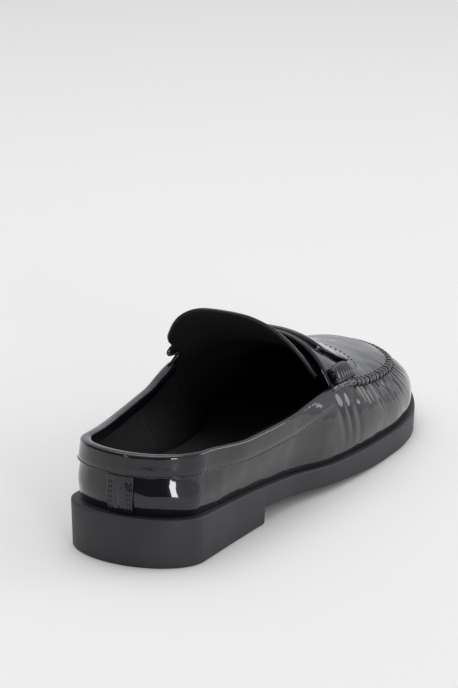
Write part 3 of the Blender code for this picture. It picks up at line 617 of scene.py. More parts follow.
@dataclass(frozen=True)
class Dull:
    """A matt finish: lining leather, moulded rubber or waxed thread.

    The eye gets a soft broad sheen, a fine grain and a slight change of tone, as of use.
    """

    name: str
    dark: str
    light: str
    grain: float
    grain_depth: float
    roughness: float
    patch: float = 18 * MM

    def build(self) -> bpy.types.Material:
        """Make the material: two tones in soft patches, grain in the bump and the gloss."""
        material = bpy.data.materials.new(self.name)
        material.use_nodes = True
        tree = material.node_tree
        shader = tree.nodes["Principled BSDF"]
        place = node(tree, "ShaderNodeTexCoord", {}, {}).outputs["Object"]
        grain = node(tree, "ShaderNodeTexNoise", {"Scale": 1 / self.grain, "Detail": 4.0}, {"Vector": place})
        patch = node(tree, "ShaderNodeTexNoise", {"Scale": 1 / self.patch, "Detail": 2.0}, {"Vector": place})
        spread = node(tree, "ShaderNodeMapRange", {"From Min": 0.35, "From Max": 0.65, "To Min": 0.0,
                                                   "To Max": 1.0}, {"Value": patch.outputs["Fac"]})
        colour = node(tree, "ShaderNodeMix", {"data_type": "RGBA"}, {"Factor": spread.outputs["Result"]})
        colour.inputs[6].default_value = linear(self.dark)
        colour.inputs[7].default_value = linear(self.light)
        gloss = node(tree, "ShaderNodeMapRange", {"To Min": self.roughness - 0.08, "To Max": self.roughness + 0.08},
                     {"Value": grain.outputs["Fac"]})
        bump = node(tree, "ShaderNodeBump", {"Strength": 0.7, "Distance": self.grain_depth},
                    {"Height": grain.outputs["Fac"]})
        tree.links.new(colour.outputs[2], shader.inputs["Base Color"])
        tree.links.new(gloss.outputs["Result"], shader.inputs["Roughness"])
        tree.links.new(bump.outputs["Normal"], shader.inputs["Normal"])
        return material


def grid_faces(rows: int, columns: int, closed: bool = False) -> Array:
    """Quads of a grid of points, closed from its last row to its first where asked."""
    index = np.arange(rows * columns).reshape(rows, columns)
    if closed:
        index = np.vstack([index, index[:1]])
    a, b, c, d = index[:-1, :-1], index[1:, :-1], index[1:, 1:], index[:-1, 1:]
    return np.stack([a, b, c, d], axis=-1).reshape(-1, 4)


def make_piece(name: str, points: Array, faces: Array, finishes: list, marks: Array | None,
               stands_for: tuple[str, ...] = ()) -> bpy.types.Object:
    """Build a closed mesh in the shoe's own frame, dress it and ride it on the shoe.

    Args:
        name: Name of the piece.
        points: Vertices, measured from the back of the heel.
        faces: Quads as rows of four indices.
        finishes: Materials of the piece.
        marks: Index of the material of each face, or None for the first.
        stands_for: CAD nodes that the piece replaces.

    Returns:
        The new object.
    """
    mesh = bpy.data.meshes.new(name)
    mesh.from_pydata(LAST.place(points.reshape(-1, 3)).tolist(), [], faces.tolist())
    for material in finishes:
        mesh.materials.append(material)
    if marks is not None:
        mesh.polygons.foreach_set("material_index", marks.astype(np.int32))
    bm = bmesh.new()
    bm.from_mesh(mesh)
    bmesh.ops.remove_doubles(bm, verts=bm.verts, dist=2e-6)
    bmesh.ops.dissolve_degenerate(bm, edges=bm.edges, dist=1e-7)
    bmesh.ops.recalc_face_normals(bm, faces=bm.faces)
    if bm.calc_volume(signed=True) < 0:
        bmesh.ops.reverse_faces(bm, faces=bm.faces)
    bm.to_mesh(mesh)
    bm.free()
    mesh.polygons.foreach_set("use_smooth", np.ones(len(mesh.polygons), bool))
    mesh.set_sharp_from_angle(angle=math.radians(50))
    piece = bpy.data.objects.new(name, mesh)
    bpy.context.scene.collection.objects.link(piece)
    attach(piece, "root")
    if stands_for:
        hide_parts(*stands_for)
    LOG.info("%s: %d faces", name, len(mesh.polygons))
    return piece


def shell(outer: Array, inner: Array, closed: bool = False) -> tuple[Array, Array, Array]:
    """Close two sheets of the same grid into one body.

    Args:
        outer: Points of the outer sheet, rows by columns by 3.
        inner: Points of the inner sheet.
        closed: True where the last row meets the first.

    Returns:
        Points, faces, and a mark for each face: 0 outer, 1 inner, 2 edge.
    """
    rows, columns = outer.shape[:2]
    total = rows * columns
    front = grid_faces(rows, columns, closed)
    back = front[:, ::-1] + total
    index = np.arange(total).reshape(rows, columns)
    if closed:
        borders = [np.append(index[:, 0], index[0, 0]), np.append(index[:, -1], index[0, -1])[::-1]]
    else:
        loop = np.concatenate([index[0], index[1:, -1], index[-1, -2::-1], index[-2::-1, 0]])
        borders = [loop]
    edge = np.concatenate([
        np.stack([line[:-1], line[1:], line[1:] + total, line[:-1] + total], axis=-1) for line in borders
    ])
    points = np.concatenate([outer.reshape(-1, 3), inner.reshape(-1, 3)])
    marks = np.concatenate([np.zeros(len(front)), np.ones(len(back)), np.full(len(edge), 2)])
    return points, np.concatenate([front, back, edge]), marks


def bar(rings: Array) -> tuple[Array, Array]:
    """Join closed sections, one a row, into a bar whose ends are drawn in to a point.

    Args:
        rings: Sections by points by 3.

    Returns:
        Points and faces.
    """
    ends = [np.repeat(rings[i].mean(axis=0)[None, None], rings.shape[1], axis=1) for i in (0, -1)]
    rings = np.concatenate([ends[0], rings, ends[1]])
    wrapped = np.concatenate([rings, rings[:, :1]], axis=1)
    return wrapped.reshape(-1, 3), grid_faces(*wrapped.shape[:2])


def edge_round(distance: Array, radius: float) -> Array:
    """Share of a sheet's half thickness at a distance from its edge: a quarter circle."""
    s = np.clip(distance / radius, 0, 1)
    return np.sqrt(np.clip(1 - (1 - s) ** 2, 0, 1))


def eased(count: int) -> Array:
    """Shares from 0 to 1 that lie closer together near both ends."""
    even = np.linspace(0, 1, count)
    return 0.45 * even + 0.55 * (1 - np.cos(even * math.pi)) / 2


@dataclass(frozen=True)
class Pleats:
    """Gathers that the raised seam takes in, as sharp valleys between round ridges."""

    pitch: float = 4.6 * MM
    start: float = 19.0 * MM
    depth_side: float = 0.85 * MM
    depth_toe: float = 1.10 * MM
    reach_side: float = 9.0 * MM
    reach_toe: float = 12.0 * MM
    on_plug: float = 0.35

    def phase(self, t: Array, side: Array) -> Array:
        """Number of pleats from the throat to each t, with a slight unevenness."""
        count = np.zeros_like(t)
        for one in (1, -1):
            run, ts = LAST.rim_run(one)
            start = np.interp(LAST.throat, ts, run)
            count = np.where(side == one, (np.interp(t, ts, run) - start) / self.pitch, count)
        return count + 0.13 * np.sin(count * 1.9 + side) + 0.08 * np.sin(count * 4.3)

    def relief(self, t: Array, v: Array) -> Array:
        """Height of the pleats over the skin, below 0 in their valleys."""
        side = np.where(v > 0, 1, -1)
        speed = LAST.skin_frame(t, side * np.where(np.abs(v) < 1, 0.97, 1.03))[2]
        away = np.abs(np.abs(v) - 1) * speed
        count = self.phase(t, side)
        toe = smooth_step(0.60, 0.92, t)
        begun = smooth_step(self.start - 3 * MM, self.start + 4 * MM, (t - LAST.throat) / LAST.per_metre)
        depth = (self.depth_side + (self.depth_toe - self.depth_side) * toe) * begun
        reach = (self.reach_side + (self.reach_toe - self.reach_side) * toe)
        reach = reach * (1 + 0.28 * np.sin(np.floor(count) * 2.4 + side))
        plug = np.abs(v) < 1
        depth = np.where(plug, depth * self.on_plug, depth)
        reach = np.where(plug, reach * 0.45, reach)
        valley = 1 - np.abs(np.sin(math.pi * count)) ** 0.7
        return -depth * valley * np.exp(-(away / reach) ** 2)


@dataclass
class Upper:
    """The hollow wall, the plug over the forefoot, and the raised seam that joins them."""

    columns: int = 340
    wall_rows: int = 44
    plug_rows: int = 74
    seam_half: float = 2.0 * MM
    seam_rise: float = 2.3 * MM
    seam_foot: float = 1.2 * MM
    lining_seam: float = 0.35
    toe_open: float = 0.985
    lining_lap: float = 1.06
    plug_margin: float = 0.1 * MM
    lip: float = 1.2 * MM
    skive: float = 7.0 * MM

    def lasted(self, t: Array, v: Array, proud: Array | float, pleats: Pleats) -> Array:
        """Skin with its pleats and folds."""
        return LAST.skin(t, v, proud + pleats.relief(t, v))

    def build_wall(self, outside: bpy.types.Material, inside: bpy.types.Material, pleats: Pleats) -> None:
        """Build the wall: two sheets from the sole's edge to the rim, all round the shoe."""
        ts = np.linspace(0, 1, self.columns)
        q = np.linspace(0, 1, self.wall_rows)

        def sheet(side: int, depth: float) -> Array:
            t, rise = np.meshgrid(ts, q, indexing="ij")
            v = side * (2 - rise)
            if depth == 0:
                return self.lasted(t, v, 0.0, pleats)
            ridge = 0.25 * MM * np.exp(-((t - self.lining_seam) / LAST.per_metre / (1.1 * MM)) ** 2)
            return LAST.skin(t, v, -depth - ridge)
        outer, inner = (
            np.concatenate([sheet(1, depth), sheet(-1, depth)[1:-1][::-1]]) for depth in (0, LAST.wall)
        )
        points, faces, marks = shell(outer, inner, closed=True)
        make_piece("upper_wall", points, faces, [outside, inside], (marks == 1).astype(int),
                   ("upper",))

    def build_plug(self, outside: bpy.types.Material, inside: bpy.types.Material, pleats: Pleats) -> None:
        """Build the plug: a vaulted sheet between the rims, from the throat to the toe."""
        ts = LAST.throat + (self.toe_open - LAST.throat) * np.linspace(0, 1, self.columns // 2 + 60)
        share = eased(self.plug_rows)
        lateral = LAST.from_rim(ts, 1, self.plug_margin)
        medial = LAST.from_rim(ts, -1, self.plug_margin)
        v = lateral[:, None] + (medial - lateral)[:, None] * share[None, :]
        t = np.repeat(ts[:, None], self.plug_rows, axis=1)
        ahead = (t - LAST.throat) / LAST.per_metre
        proud = (LAST.gap + LAST.apron_thickness) * (0.45 + 0.55 * edge_round(ahead, self.lip))
        outer = self.lasted(t, v, proud, pleats)
        inner = LAST.skin(t, v * self.lining_lap, -LAST.wall * smooth_step(-self.lip, self.skive, ahead))
        points, faces, marks = shell(outer, inner)
        make_piece("vamp_plug", points, faces, [outside, inside], (marks == 1).astype(int),
                   ("apron",))

    def build_seam(self, finish: bpy.types.Material, thread: bpy.types.Material, pleats: Pleats) -> None:
        """Build the raised seam: two leather edges pinched together, nipped in at each stitch."""
        ts = LAST.throat + (1 - LAST.throat) * np.linspace(0, 1, 520)
        turn = np.linspace(0, 2 * math.pi, 20, endpoint=False)

        def side_rings(side: int) -> Array:
            normal, across, _ = LAST.skin_frame(ts, np.full_like(ts, side * 1.03))
            inner_normal = LAST.skin_frame(np.minimum(ts, self.toe_open), np.full_like(ts, side * 0.95))[0]
            up = unit(normal + inner_normal)
            outward = unit(across * side - up * np.sum(across * side * up, axis=-1, keepdims=True))
            count = pleats.phase(ts, np.full_like(ts, float(side)))
            nip = 1 - 0.20 * (1 - np.abs(np.sin(math.pi * count)) ** 0.8)
            start = smooth_step(LAST.throat - 0.004, LAST.throat + 0.02, ts)
            rise = (self.seam_rise * nip * (0.55 + 0.45 * start))[:, None, None]
            half = (self.seam_half * (0.9 + 0.1 * nip))[:, None, None]
            c, s = np.cos(turn)[None, :, None], np.sin(turn)[None, :, None]
            lift = np.where(s > 0, np.abs(s) ** 0.85 * rise, s * self.seam_foot)
            centre = LAST.rim(ts, side)[:, None]
            return centre + outward[:, None] * half * np.sign(c) * np.abs(c) ** 0.9 + up[:, None] * lift
        points, faces = bar(np.concatenate([side_rings(1), side_rings(-1)[:-1][::-1]]))
        make_piece("raised_seam", points, faces, [finish], None)
        self.build_seam_thread(thread, pleats)

    def build_seam_thread(self, thread: bpy.types.Material, pleats: Pleats) -> None:
        """Lay a thread over the seam at each pleat's valley: an arc from wall to plug."""
        arcs = []
        for side in (1, -1):
            ts = np.linspace(LAST.throat, 1, 4000)
            count = pleats.phase(ts, np.full_like(ts, float(side)))
            wanted = np.arange(5, math.floor(count[-1]))
            at = np.interp(wanted, count, ts)
            normal = LAST.skin_frame(at, np.full_like(at, side * 1.03))[0]
            inner = LAST.skin_frame(at, np.full_like(at, side * 0.95))[0]
            across = LAST.skin_frame(at, np.full_like(at, side * 1.03))[1] * side
            up = unit(normal + inner)
            outward = unit(across - up * np.sum(across * up, axis=-1, keepdims=True))
            sweep = np.linspace(-0.10, 1.10, 9) * math.pi
            c, s = np.cos(sweep)[None, :, None], np.sin(sweep)[None, :, None]
            path = LAST.rim(at, side)[:, None] + outward[:, None] * c * (self.seam_half + 0.3 * MM)
            arcs.append(path + up[:, None] * s * self.seam_rise * 0.86)
        build_threads("seam_thread", np.concatenate(arcs), 0.42 * MM, thread)


def build_threads(name: str, paths: Array, radius: float, finish: bpy.types.Material) -> None:
    """Sweep a small round section along each path: a tube of six sides, drawn in at its ends.

    Args:
        name: Name of the piece.
        paths: Paths by points by 3.
        radius: Half the thread's thickness.
        finish: Its material.
    """
    along = unit(np.gradient(paths, axis=1))
    helper = np.cross(along, unit(paths[:, -1:] - paths[:, :1] + 1e-9))
    middle = np.cross(along, np.roll(along, 1, axis=1))
    side = np.where(np.linalg.norm(helper, axis=-1, keepdims=True) > 1e-3, helper, middle)
    fallback = np.cross(along, np.array([0.31, 0.17, 0.94]))
    side = np.where(np.linalg.norm(side, axis=-1, keepdims=True) > 1e-3, side, fallback)
    side = unit(side)
    up = unit(np.cross(side, along))
    turn = np.linspace(0, 2 * math.pi, 7)
    count = paths.shape[1]
    taper = np.sqrt(np.clip(1 - np.abs(np.linspace(-1, 1, count)) ** 4, 0.0, 1))[None, :, None, None]
    ring = side[:, :, None] * np.cos(turn)[None, None, :, None] + up[:, :, None] * np.sin(turn)[None, None, :, None]
    points = paths[:, :, None] + ring * radius * taper
    one = grid_faces(count, len(turn))
    faces = (one[None] + (np.arange(len(paths)) * count * len(turn))[:, None, None]).reshape(-1, 4)
    make_piece(name, points, faces, [finish], None)


def stitch_paths(t: Array, v: Array, proud: float, pitch: float, length: float) -> Array:
    """Cut a line on the skin into stitches.

    Args:
        t: Values of t along the line.
        v: Values of v along it.
        proud: Height over the skin.
        pitch: Distance from stitch to stitch.
        length: Length of each stitch.

    Returns:
        Paths of five points each; their middles stand higher than their ends.
    """
    line = LAST.skin(t, v, proud)
    run = np.concatenate([[0.0], np.cumsum(np.linalg.norm(np.diff(line, axis=0), axis=1))])
    starts = np.arange(pitch / 2, run[-1] - length, pitch)
    places = starts[:, None] + np.linspace(0, length, 5)[None, :]
    tt, vv = np.interp(places, run, t), np.interp(places, run, v)
    bow = np.array([-0.25, 0.02, 0.08, 0.02, -0.25]) * MM
    return LAST.skin(tt, vv, proud + bow[None, :])


@dataclass
class CollarBand:
    """The folded band over the collar, from one roll round the heel to the other."""

    depth: float = 8.5 * MM
    lip: float = 4.0 * MM
    slant: float = 4.0 * MM
    stations: int = 260
    stitch_pitch: float = 2.4 * MM
    stitch_length: float = 1.7 * MM

    def section(self, t: Array, side: int) -> Array:
        """U-shaped section: up the outside, in a round over the rim, down the inside and back."""
        inner, thick = LAST.gap, LAST.band_thickness
        outer = inner + thick
        slant = self.slant * LAST.per_metre * smooth_step(LAST.throat - 0.06, LAST.throat, t)
        normal, across, _ = LAST.skin_frame(t, np.full_like(t, side * 1.02))
        top, up = LAST.bare_skin(t, np.full_like(t, float(side))), -across * side

        def leg(share: float, away: float) -> Array:
            moved = t - slant * share
            return LAST.skin(moved, LAST.from_rim(moved, side, -self.depth * share), away)

        def lining(share: float, away: float) -> Array:
            return LAST.skin(t, LAST.from_rim(t, side, -self.lip * share), -LAST.wall - away)
        middle = -LAST.wall / 2
        radius = LAST.wall / 2 + outer
        points = [leg(1.0, inner), leg(1.0, inner + thick * 0.6), leg(0.975, inner + thick * 0.95)]
        points += [leg(share, outer) for share in (0.95, 0.935, 0.92, 0.905, 0.6, 0.4, 0.2, 0.1)]
        points[5] = leg(0.92, outer - 0.12 * MM)
        for angle in np.linspace(0, math.pi, 13):
            away = middle + radius * math.cos(angle)
            points.append(top + normal * away + up * outer * math.sin(angle) ** 0.8)
        points += [lining(share, outer) for share in (0.25, 0.5, 0.75)]
        points += [lining(0.95, outer * 0.9), lining(1.0, outer * 0.6), lining(1.0, inner), lining(0.5, inner)]
        points += [top + normal * (-LAST.wall - inner) + up * inner, top + normal * inner + up * inner]
        points += [leg(share, inner) for share in (0.25, 0.5, 0.75)]
        return np.stack(points, axis=1)

    def build(self, finish: bpy.types.Material, thread: bpy.types.Material) -> None:
        """Build the band and its line of stitches near the lower edge."""
        ts = (LAST.throat - LAST.gap * 2 * LAST.per_metre) * np.linspace(0, 1, self.stations) ** 1.0
        loop = np.concatenate([self.section(ts, -1)[1:][::-1], self.section(ts, 1)])
        points, faces = bar(loop)
        make_piece("collar_band_folded", points, faces, [finish], None, ("collar_band",))
        paths = []
        for side in (1, -1):
            t = np.linspace(0.004, LAST.throat - 0.012, 300)
            v = LAST.from_rim(t, side, -self.depth * 0.92)
            paths.append(stitch_paths(t, v, LAST.gap + LAST.band_thickness, self.stitch_pitch, self.stitch_length))
        build_threads("band_stitches", np.concatenate(paths), 0.15 * MM, thread)


@dataclass
class HeelStrip:
    """The upright back strip with a double line of stitches along each side."""

    width: float = 12.0 * MM
    thickness: float = 1.0 * MM
    top_gap: float = 8.8 * MM
    foot: float = 0.03

    def build(self, finish: bpy.types.Material, thread: bpy.types.Material) -> None:
        """Build the strip as two sheets with rounded long edges, then its stitches."""
        run, ts = LAST.rim_run(1, 4000)
        offset = (eased(41) * 2 - 1) * self.width / 2
        high = float(LAST.from_rim(np.array([0.0]), 1, -self.top_gap)[0])
        rows = np.linspace(2.0 - self.foot, high, 40)
        t = np.repeat(np.interp(np.abs(offset), run, ts)[:, None], len(rows), axis=1)
        v = np.where(offset >= 0, 1.0, -1.0)[:, None] * rows[None, :]
        round_off = edge_round(self.width / 2 - np.abs(offset), 0.7 * MM)[:, None]
        groove = sum(np.exp(-((np.abs(offset) - at) / (0.30 * MM)) ** 2) for at in (3.6 * MM, 4.8 * MM))
        proud = LAST.gap + self.thickness * (0.25 + 0.75 * round_off) - 0.22 * MM * groove[:, None]
        points, faces, _ = shell(LAST.skin(t, v, proud), LAST.skin(t, v, LAST.gap))
        make_piece("heel_back_strip", points, faces, [finish], None, ("heel_strip",))
        paths = []
        for side in (1, -1):
            for at in (3.6 * MM, 4.8 * MM):
                line_t = np.full(60, np.interp(at, run, ts))
                line_v = side * np.linspace(2.0 - self.foot - 0.02, high + 0.02, 60)
                paths.append(stitch_paths(line_t, line_v, LAST.gap + self.thickness - 0.1 * MM, 2.2 * MM, 1.6 * MM))
        build_threads("strip_stitches", np.concatenate(paths), 0.20 * MM, thread)


@dataclass
class Tongue:
    """The flap that rises backwards out of the throat, glossy outside and lined inside."""

    length: float = 30.0 * MM
    tuck: float = 8.0 * MM
    thickness: float = 2.0 * MM
    gap: float = 1.0 * MM
    slope: float = 0.66
    flare: float = 0.12
    bend: float = 2.5 * MM

    def sheet(self, v: Array, back: Array) -> Array:
        """Outer face: under the vamp where back is below 0, bending up and back behind it."""
        bent = np.sqrt(back ** 2 + self.bend ** 2)
        t = LAST.throat + (bent - back) / 2 * LAST.per_metre
        root = LAST.skin(t, v, -(LAST.wall + self.gap))
        rise = np.stack([v * self.flare, -np.ones_like(back), np.full_like(back, self.slope)], axis=-1)
        return root + rise * ((bent + back) / 2)[..., None]

    def build(self, outside: bpy.types.Material, inside: bpy.types.Material) -> None:
        """Build the flap as two sheets whose free edge is rounded."""
        span = (eased(90) * 2 - 1) * TONGUE_EDGE[-1].across
        free = self.length * steady_curve(
            [row.across for row in TONGUE_EDGE], [row.back for row in TONGUE_EDGE], span)
        share = np.sin(np.linspace(0, 1, 60) * math.pi / 2)[:, None] ** 0.9
        back = -self.tuck + (free + self.tuck) * share
        v = np.repeat(span[None, :], len(share), axis=0)
        outer = self.sheet(v, back)
        normal = unit(np.cross(np.gradient(outer, axis=1), np.gradient(outer, axis=0)))
        normal = normal * np.sign(normal[len(share) // 2, 45, 2])
        behind = np.minimum(free - back, (TONGUE_EDGE[-1].across + 0.01 - np.abs(v)) * 40 * MM)
        half = self.thickness / 2 * (0.12 + 0.88 * edge_round(behind, 1.0 * MM))[..., None]
        crease = 0.25 * MM * np.exp(-((back - 5 * MM) / (3 * MM)) ** 2)[..., None]
        middle = outer - normal * (self.thickness / 2 + crease)
        points, faces, marks = shell(middle + normal * half, middle - normal * half)
        make_piece("tongue_flap", points, faces, [outside, inside], (marks == 1).astype(int),
                   ("tongue",))


@dataclass
class Strap:
    """The strap across the instep, with a pointed notch above each roll."""

    reach: float = 42.0 * MM
    thickness: float = 1.5 * MM
    gap: float = 0.6 * MM
    seam_half: float = 2.0 * MM

    def edges(self, span: Array) -> tuple[Array, Array]:
        """Rear and front edge of the strap ahead of the throat at each place across."""
        across = [row.across for row in SADDLE]
        rear = steady_curve(across, [row.rear for row in SADDLE], np.abs(span))
        front = steady_curve(across, [row.front for row in SADDLE], np.abs(span))
        return self.reach * rear, self.reach * front

    def build(self, finish: bpy.types.Material, thread: bpy.types.Material) -> None:
        """Build the strap with rounded edges and a stitch line along its front edge."""
        half = np.sort(np.concatenate([np.linspace(0, 0.96, 90), np.linspace(0.66, 0.82, 50)]))
        span = np.concatenate([-half[:0:-1], half])
        rear, front = self.edges(span)
        share = eased(40)[:, None]
        ahead = rear + (front - rear) * share
        t = LAST.throat + ahead * LAST.per_metre
        ends = [np.abs(LAST.from_rim(t, side, self.seam_half + LAST.gap)) for side in (1, -1)]
        v = np.clip(np.repeat(span[None, :], 40, axis=0), -ends[1], ends[0])
        tip = (half[-1] - np.abs(span))[None, :] * 40 * MM
        inside = np.minimum(np.minimum(ahead - rear, front - ahead), tip)
        bed = LAST.gap + LAST.apron_thickness + self.gap
        crown = self.thickness * (0.30 + 0.70 * edge_round(inside, 1.0 * MM))
        crown = crown + 0.25 * MM * smooth_step(1 * MM, 8 * MM, inside)
        line = 0.18 * MM * np.exp(-((inside - 2.2 * MM) / (0.35 * MM)) ** 2)
        outer = LAST.skin(t, v, bed + crown - line)
        points, faces, _ = shell(outer, LAST.skin(t, v, bed * 0.75))
        make_piece("strap_over_instep", points, faces, [finish], None, ("saddle_strap",))
        place = np.linspace(-0.86, 0.86, 500)
        _, front = self.edges(place)
        line_t = LAST.throat + (front - 2.2 * MM) * LAST.per_metre
        paths = stitch_paths(line_t, place, bed + self.thickness + 0.1 * MM, 2.8 * MM, 1.9 * MM)
        build_threads("strap_stitches", paths, 0.22 * MM, thread)


@dataclass
class Roll:
    """A sewn roll at the end of the strap, bound by wraps of leather lace."""

    side: Side
    height: float = 8.8 * MM
    thickness: float = 4.8 * MM
    seam_half: float = 2.0 * MM
    wraps: int = 6
    plain_share: float = 0.20
    groove: float = 0.75 * MM

    def build(self, finish: bpy.types.Material, nodes: tuple[str, ...]) -> None:
        """Build the roll: an oval bar along the seam, its front part nipped in between wraps."""
        share = np.linspace(0, 1, 190)
        ts = LAST.throat + share * LAST.roll_length * LAST.per_metre
        side = self.side.value
        half_a, half_b = self.height / 2, self.thickness / 2
        v = LAST.from_rim(ts, side, self.seam_half / 4 + half_a)
        normal, across, _ = LAST.skin_frame(ts, v)
        across = across * side
        bed = 2 * LAST.gap + LAST.apron_thickness + half_b
        centre = LAST.skin(ts, v, bed)
        bound = np.clip((share - self.plain_share) / (1 - self.plain_share), 0, 1)
        wrap = np.abs(np.sin(bound * math.pi * self.wraps)) ** 0.55
        cut = self.groove * np.where(share > self.plain_share, 1 - wrap, 0.55)
        ends = np.clip(1 - np.abs(2 * share - 1) ** 10, 0.0, 1) ** 0.5
        a = ((half_a - cut) * (0.35 + 0.65 * ends))[:, None, None]
        b = ((half_b - cut * 0.7) * (0.35 + 0.65 * ends))[:, None, None]
        turn = np.linspace(0, 2 * math.pi, 44, endpoint=False)
        c, s = np.cos(turn)[None, :, None], np.sin(turn)[None, :, None]
        lean = (np.unwrap(turn) * 0)[None, :, None]
        ring = centre[:, None] + across[:, None] * a * (np.sign(c) * np.abs(c) ** 0.85 + lean)
        ring = ring + normal[:, None] * b * np.sign(s) * np.abs(s) ** 0.85
        points, faces = bar(ring)
        make_piece("roll_" + self.side.name.lower(), points, faces, [finish], None, nodes)


@dataclass
class Sole:
    """The moulded outsole, and the sock that lies on it inside the shoe."""

    taper: float = 0.4 * MM
    edge_round: float = 0.9 * MM
    sock_thickness: float = 3.5 * MM
    sock_toe_lean: float = 0.8 * MM
    stations: int = 330
    chord: int = 26

    def loops(self, ts: Array, levels: list, heights: Callable) -> tuple[Array, Array]:
        """Sections across the sole: up the lateral side, over the top, down the medial, back below.

        Args:
            ts: Stations.
            levels: Pairs of inset and share of the height for the points up a side.
            heights: Function of y giving the low and the high level.

        Returns:
            Points and faces.
        """
        def side_points(side: int) -> Array:
            y_edge = LAST.sole_outline(ts, side, 0.0)[1]
            low, high = heights(y_edge)
            rows = []
            for inset, base, lift in levels:
                x, y, _, _ = LAST.sole_outline(ts, side, inset(y_edge))
                rows.append(np.stack([x, y, np.where(base > 0.5, high, low) + lift], axis=-1))
            return np.stack(rows, axis=1)
        lateral, medial = side_points(1), side_points(-1)
        share = np.linspace(0, 1, self.chord)[1:-1][None, :, None]
        over = lateral[:, -1:] + (medial[:, -1:] - lateral[:, -1:]) * share
        under = medial[:, :1] + (lateral[:, :1] - medial[:, :1]) * share
        loop = np.concatenate([lateral, over, medial[:, ::-1], under, lateral[:, :1]], axis=1)
        return loop.reshape(-1, 3), grid_faces(*loop.shape[:2])

    def build(self, rubber: bpy.types.Material) -> None:
        """Build the outsole with rounded top and bottom edges."""
        run = LAST.length - LAST.heel_arc - LAST.toe_arc
        scale = (LAST.toe_share - LAST.heel_share) / run
        pair = LAST.heel_share + (np.array([0.0, 0.0008]) + LAST.breast_at - LAST.heel_arc) * scale
        ts = np.linspace(0, 1, self.stations)
        ts = np.sort(np.concatenate([ts[np.abs(ts - pair.mean()) > 0.4 / self.stations], pair]))
        levels = []
        for angle in np.linspace(0, math.pi / 2, 6):
            inset = self.taper + self.edge_round * (1 - math.sin(angle))
            levels.append((lambda y, i=inset: i, 0.0, self.edge_round * (1 - math.cos(angle))))
        for share in np.linspace(0.0, 1.0, 7)[1:-1]:
            levels.append((lambda y, i=self.taper * (1 - share): i, 0.0, share))
        for angle in np.linspace(0, math.pi / 2, 6):
            inset = self.edge_round * (1 - math.cos(angle))
            levels.append((lambda y, i=inset: i, 1.0, -self.edge_round * (1 - math.sin(angle))))
        middle = [k for k, level in enumerate(levels) if level[1] == 0.0 and k > 5]

        def heights(y: Array) -> tuple[Array, Array]:
            return LAST.sole_under(y), LAST.sole_top(y)
        fixed = [level for k, level in enumerate(levels) if k not in middle]
        points, faces = self.loops(ts, fixed, heights)
        make_piece("moulded_outsole", points, faces, [rubber], None, ("outsole",))

    def build_sock(self, lining: bpy.types.Material) -> None:
        """Build the sock: a slab inside the wall with a soft upper edge."""
        ts = np.linspace(0, 1, 220)

        def inset(extra: float, share: float) -> Callable:
            def value(y: Array) -> Array:
                lean = self.sock_toe_lean * smooth_step(LAST.length - LAST.toe_arc, LAST.length, y)
                return LAST.ledge(y) + LAST.wall + 2 * LAST.gap + extra + lean * share
            return value
        thick = self.sock_thickness
        levels = [(inset(0.0, 0.25), 0.0, 0.0), (inset(0.0, 0.7), 0.0, thick * 0.6),
                  (inset(0.25 * MM, 1.0), 0.0, thick * 0.88), (inset(0.9 * MM, 1.0), 0.0, thick)]

        def heights(y: Array) -> tuple[Array, Array]:
            return LAST.sole_top(y) + LAST.gap, LAST.sole_top(y) + LAST.gap
        points, faces = self.loops(ts, levels, heights)
        make_piece("sock_lining", points, faces, [lining], None, ("insole",))


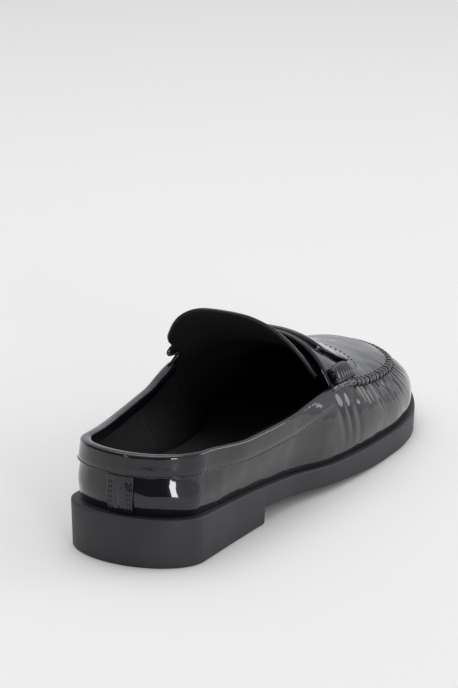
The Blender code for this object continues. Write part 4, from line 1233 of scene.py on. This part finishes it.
@dataclass
class Studio:
    """Pale floor, soft lights, and a camera at the photograph's viewing angle."""

    eye: tuple[float, float, float] = (0.4939, -0.9878, 0.3979)
    lens: float = 130.0
    aim: tuple[float, float, float] = (-0.013, -0.004, 0.062)
    room_light: float = 0.76
    dim_light: float = 0.03

    def build(self) -> None:
        """Lay the floor, hang the lights, light the room and set the camera."""
        self.lay_floor()
        self.hang("softbox_over", (-0.3, 0.2, 1.9), (1.5, 1.5), 13.0)
        self.hang("softbox_right", (1.6, 1.4, 0.7), (1.0, 0.9), 8.0)
        self.hang("lamp_by_camera", (1.62, -1.50, 0.36), (0.42, 0.50), 11.0)
        self.hang("lamp_back", (-0.80, -2.2, 0.50), (0.22, 0.30), 2.2)
        self.light_room()
        bpy.context.scene.view_settings.view_transform = "Standard"
        self.set_camera()

    def light_room(self) -> None:
        """Light the room: white walls and ceiling, dim behind the photographer near the floor.

        The dimness is the product of two soft ramps: one on how far a direction points to the
        dim end of the room, one on how low it points.
        """
        world = bpy.data.worlds.new("studio_air")
        world.use_nodes = True
        tree = world.node_tree
        direction = node(tree, "ShaderNodeTexCoord", {}, {}).outputs["Generated"]
        towards = node(tree, "ShaderNodeVectorMath", {"operation": "DOT_PRODUCT"}, {})
        tree.links.new(direction, towards.inputs[0])
        towards.inputs[1].default_value = (-0.45, -0.89, 0.0)
        height = node(tree, "ShaderNodeSeparateXYZ", {}, {"Vector": direction}).outputs["Z"]
        behind = node(tree, "ShaderNodeMapRange", {"interpolation_type": "SMOOTHSTEP", "From Min": 0.05,
                                                   "From Max": 0.45}, {"Value": towards.outputs["Value"]})
        low = node(tree, "ShaderNodeMapRange", {"interpolation_type": "SMOOTHSTEP", "From Min": 0.75,
                                                "From Max": 0.30}, {"Value": height})
        dim = node(tree, "ShaderNodeMath", {"operation": "MULTIPLY"}, {})
        tree.links.new(behind.outputs["Result"], dim.inputs[0])
        tree.links.new(low.outputs["Result"], dim.inputs[1])
        strength = node(tree, "ShaderNodeMapRange", {"To Min": self.room_light, "To Max": self.dim_light},
                        {"Value": dim.outputs["Value"]})
        tree.links.new(strength.outputs["Result"], tree.nodes["Background"].inputs["Strength"])
        tree.nodes["Background"].inputs["Color"].default_value = linear("#f0f1f6")
        bpy.context.scene.world = world

    def lay_floor(self) -> None:
        """Lay a wide floor of matt paper at the level of the sole."""
        size = 9.0
        mesh = bpy.data.meshes.new("paper_floor")
        mesh.from_pydata([(-size, -size, 0), (size, -size, 0), (size, size, 0), (-size, size, 0)], [],
                         [(0, 1, 2, 3)])
        floor = bpy.data.objects.new("paper_floor", mesh)
        bpy.context.scene.collection.objects.link(floor)
        paper = Dull("matt_paper", "#f3f2f0", "#f4f3f1", 0.4 * MM, 0.01 * MM, 0.9, 0.5).build()
        mesh.materials.append(paper)

    def hang(self, name: str, place: tuple, size: tuple, power: float) -> None:
        """Hang a rectangular light that faces the shoe."""
        light = bpy.data.lights.new(name, "AREA")
        light.shape = "RECTANGLE"
        light.size, light.size_y = size
        light.energy = power
        lamp = bpy.data.objects.new(name, light)
        lamp.location = place
        lamp.rotation_euler = (Vector((0.0, 0.0, 0.04)) - Vector(place)).to_track_quat("-Z", "Y").to_euler()
        bpy.context.scene.collection.objects.link(lamp)

    def set_camera(self) -> None:
        """Set the camera at the photograph's place beside the shoe and aim it at the shoe."""
        data = bpy.data.cameras.new("photo_view")
        data.sensor_fit = "VERTICAL"
        data.sensor_height = 36.0
        data.lens = self.lens
        camera = bpy.data.objects.new("photo_view", data)
        camera.location = self.eye
        camera.rotation_euler = (Vector(self.aim) - Vector(self.eye)).to_track_quat("-Z", "Y").to_euler()
        bpy.context.scene.collection.objects.link(camera)
        bpy.context.scene.camera = camera


def main() -> None:
    """Build the shoe's pieces in order, then the studio."""
    logging.basicConfig(level=logging.INFO, format="%(name)s %(message)s")
    patent = Patent("black_patent_calf").build()
    crinkled = Patent("flexed_black_patent", crinkle=3.0 * MM, crinkle_depth=0.20 * MM, crinkle_rise=1.0).build()
    trim = Patent("folded_patent_trim", wave=12 * MM, wave_depth=0.5 * MM, crinkle_rise=1.0).build()
    lining = Dull("black_lining_leather", "#050506", "#09090b", 0.9 * MM, 0.03 * MM, 0.7).build()
    rubber = Dull("moulded_black_rubber", "#202124", "#26272b", 0.5 * MM, 0.02 * MM, 0.52).build()
    thread = Dull("waxed_black_thread", "#0c0c0e", "#17171a", 0.3 * MM, 0.03 * MM, 0.4).build()
    pleats = Pleats()
    upper = Upper()
    upper.build_wall(patent, lining, pleats)
    upper.build_plug(patent, lining, pleats)
    upper.build_seam(trim, thread, pleats)
    CollarBand().build(trim, thread)
    HeelStrip().build(trim, thread)
    Tongue().build(patent, lining)
    Strap().build(crinkled, thread)
    Roll(Side.LATERAL).build(trim, ("beefroll_lateral",))
    Roll(Side.MEDIAL).build(trim, ("beefroll_medial",))
    sole = Sole()
    sole.build(rubber)
    sole.build_sock(lining)
    Studio().build()


if __name__ == "__main__":
    main()
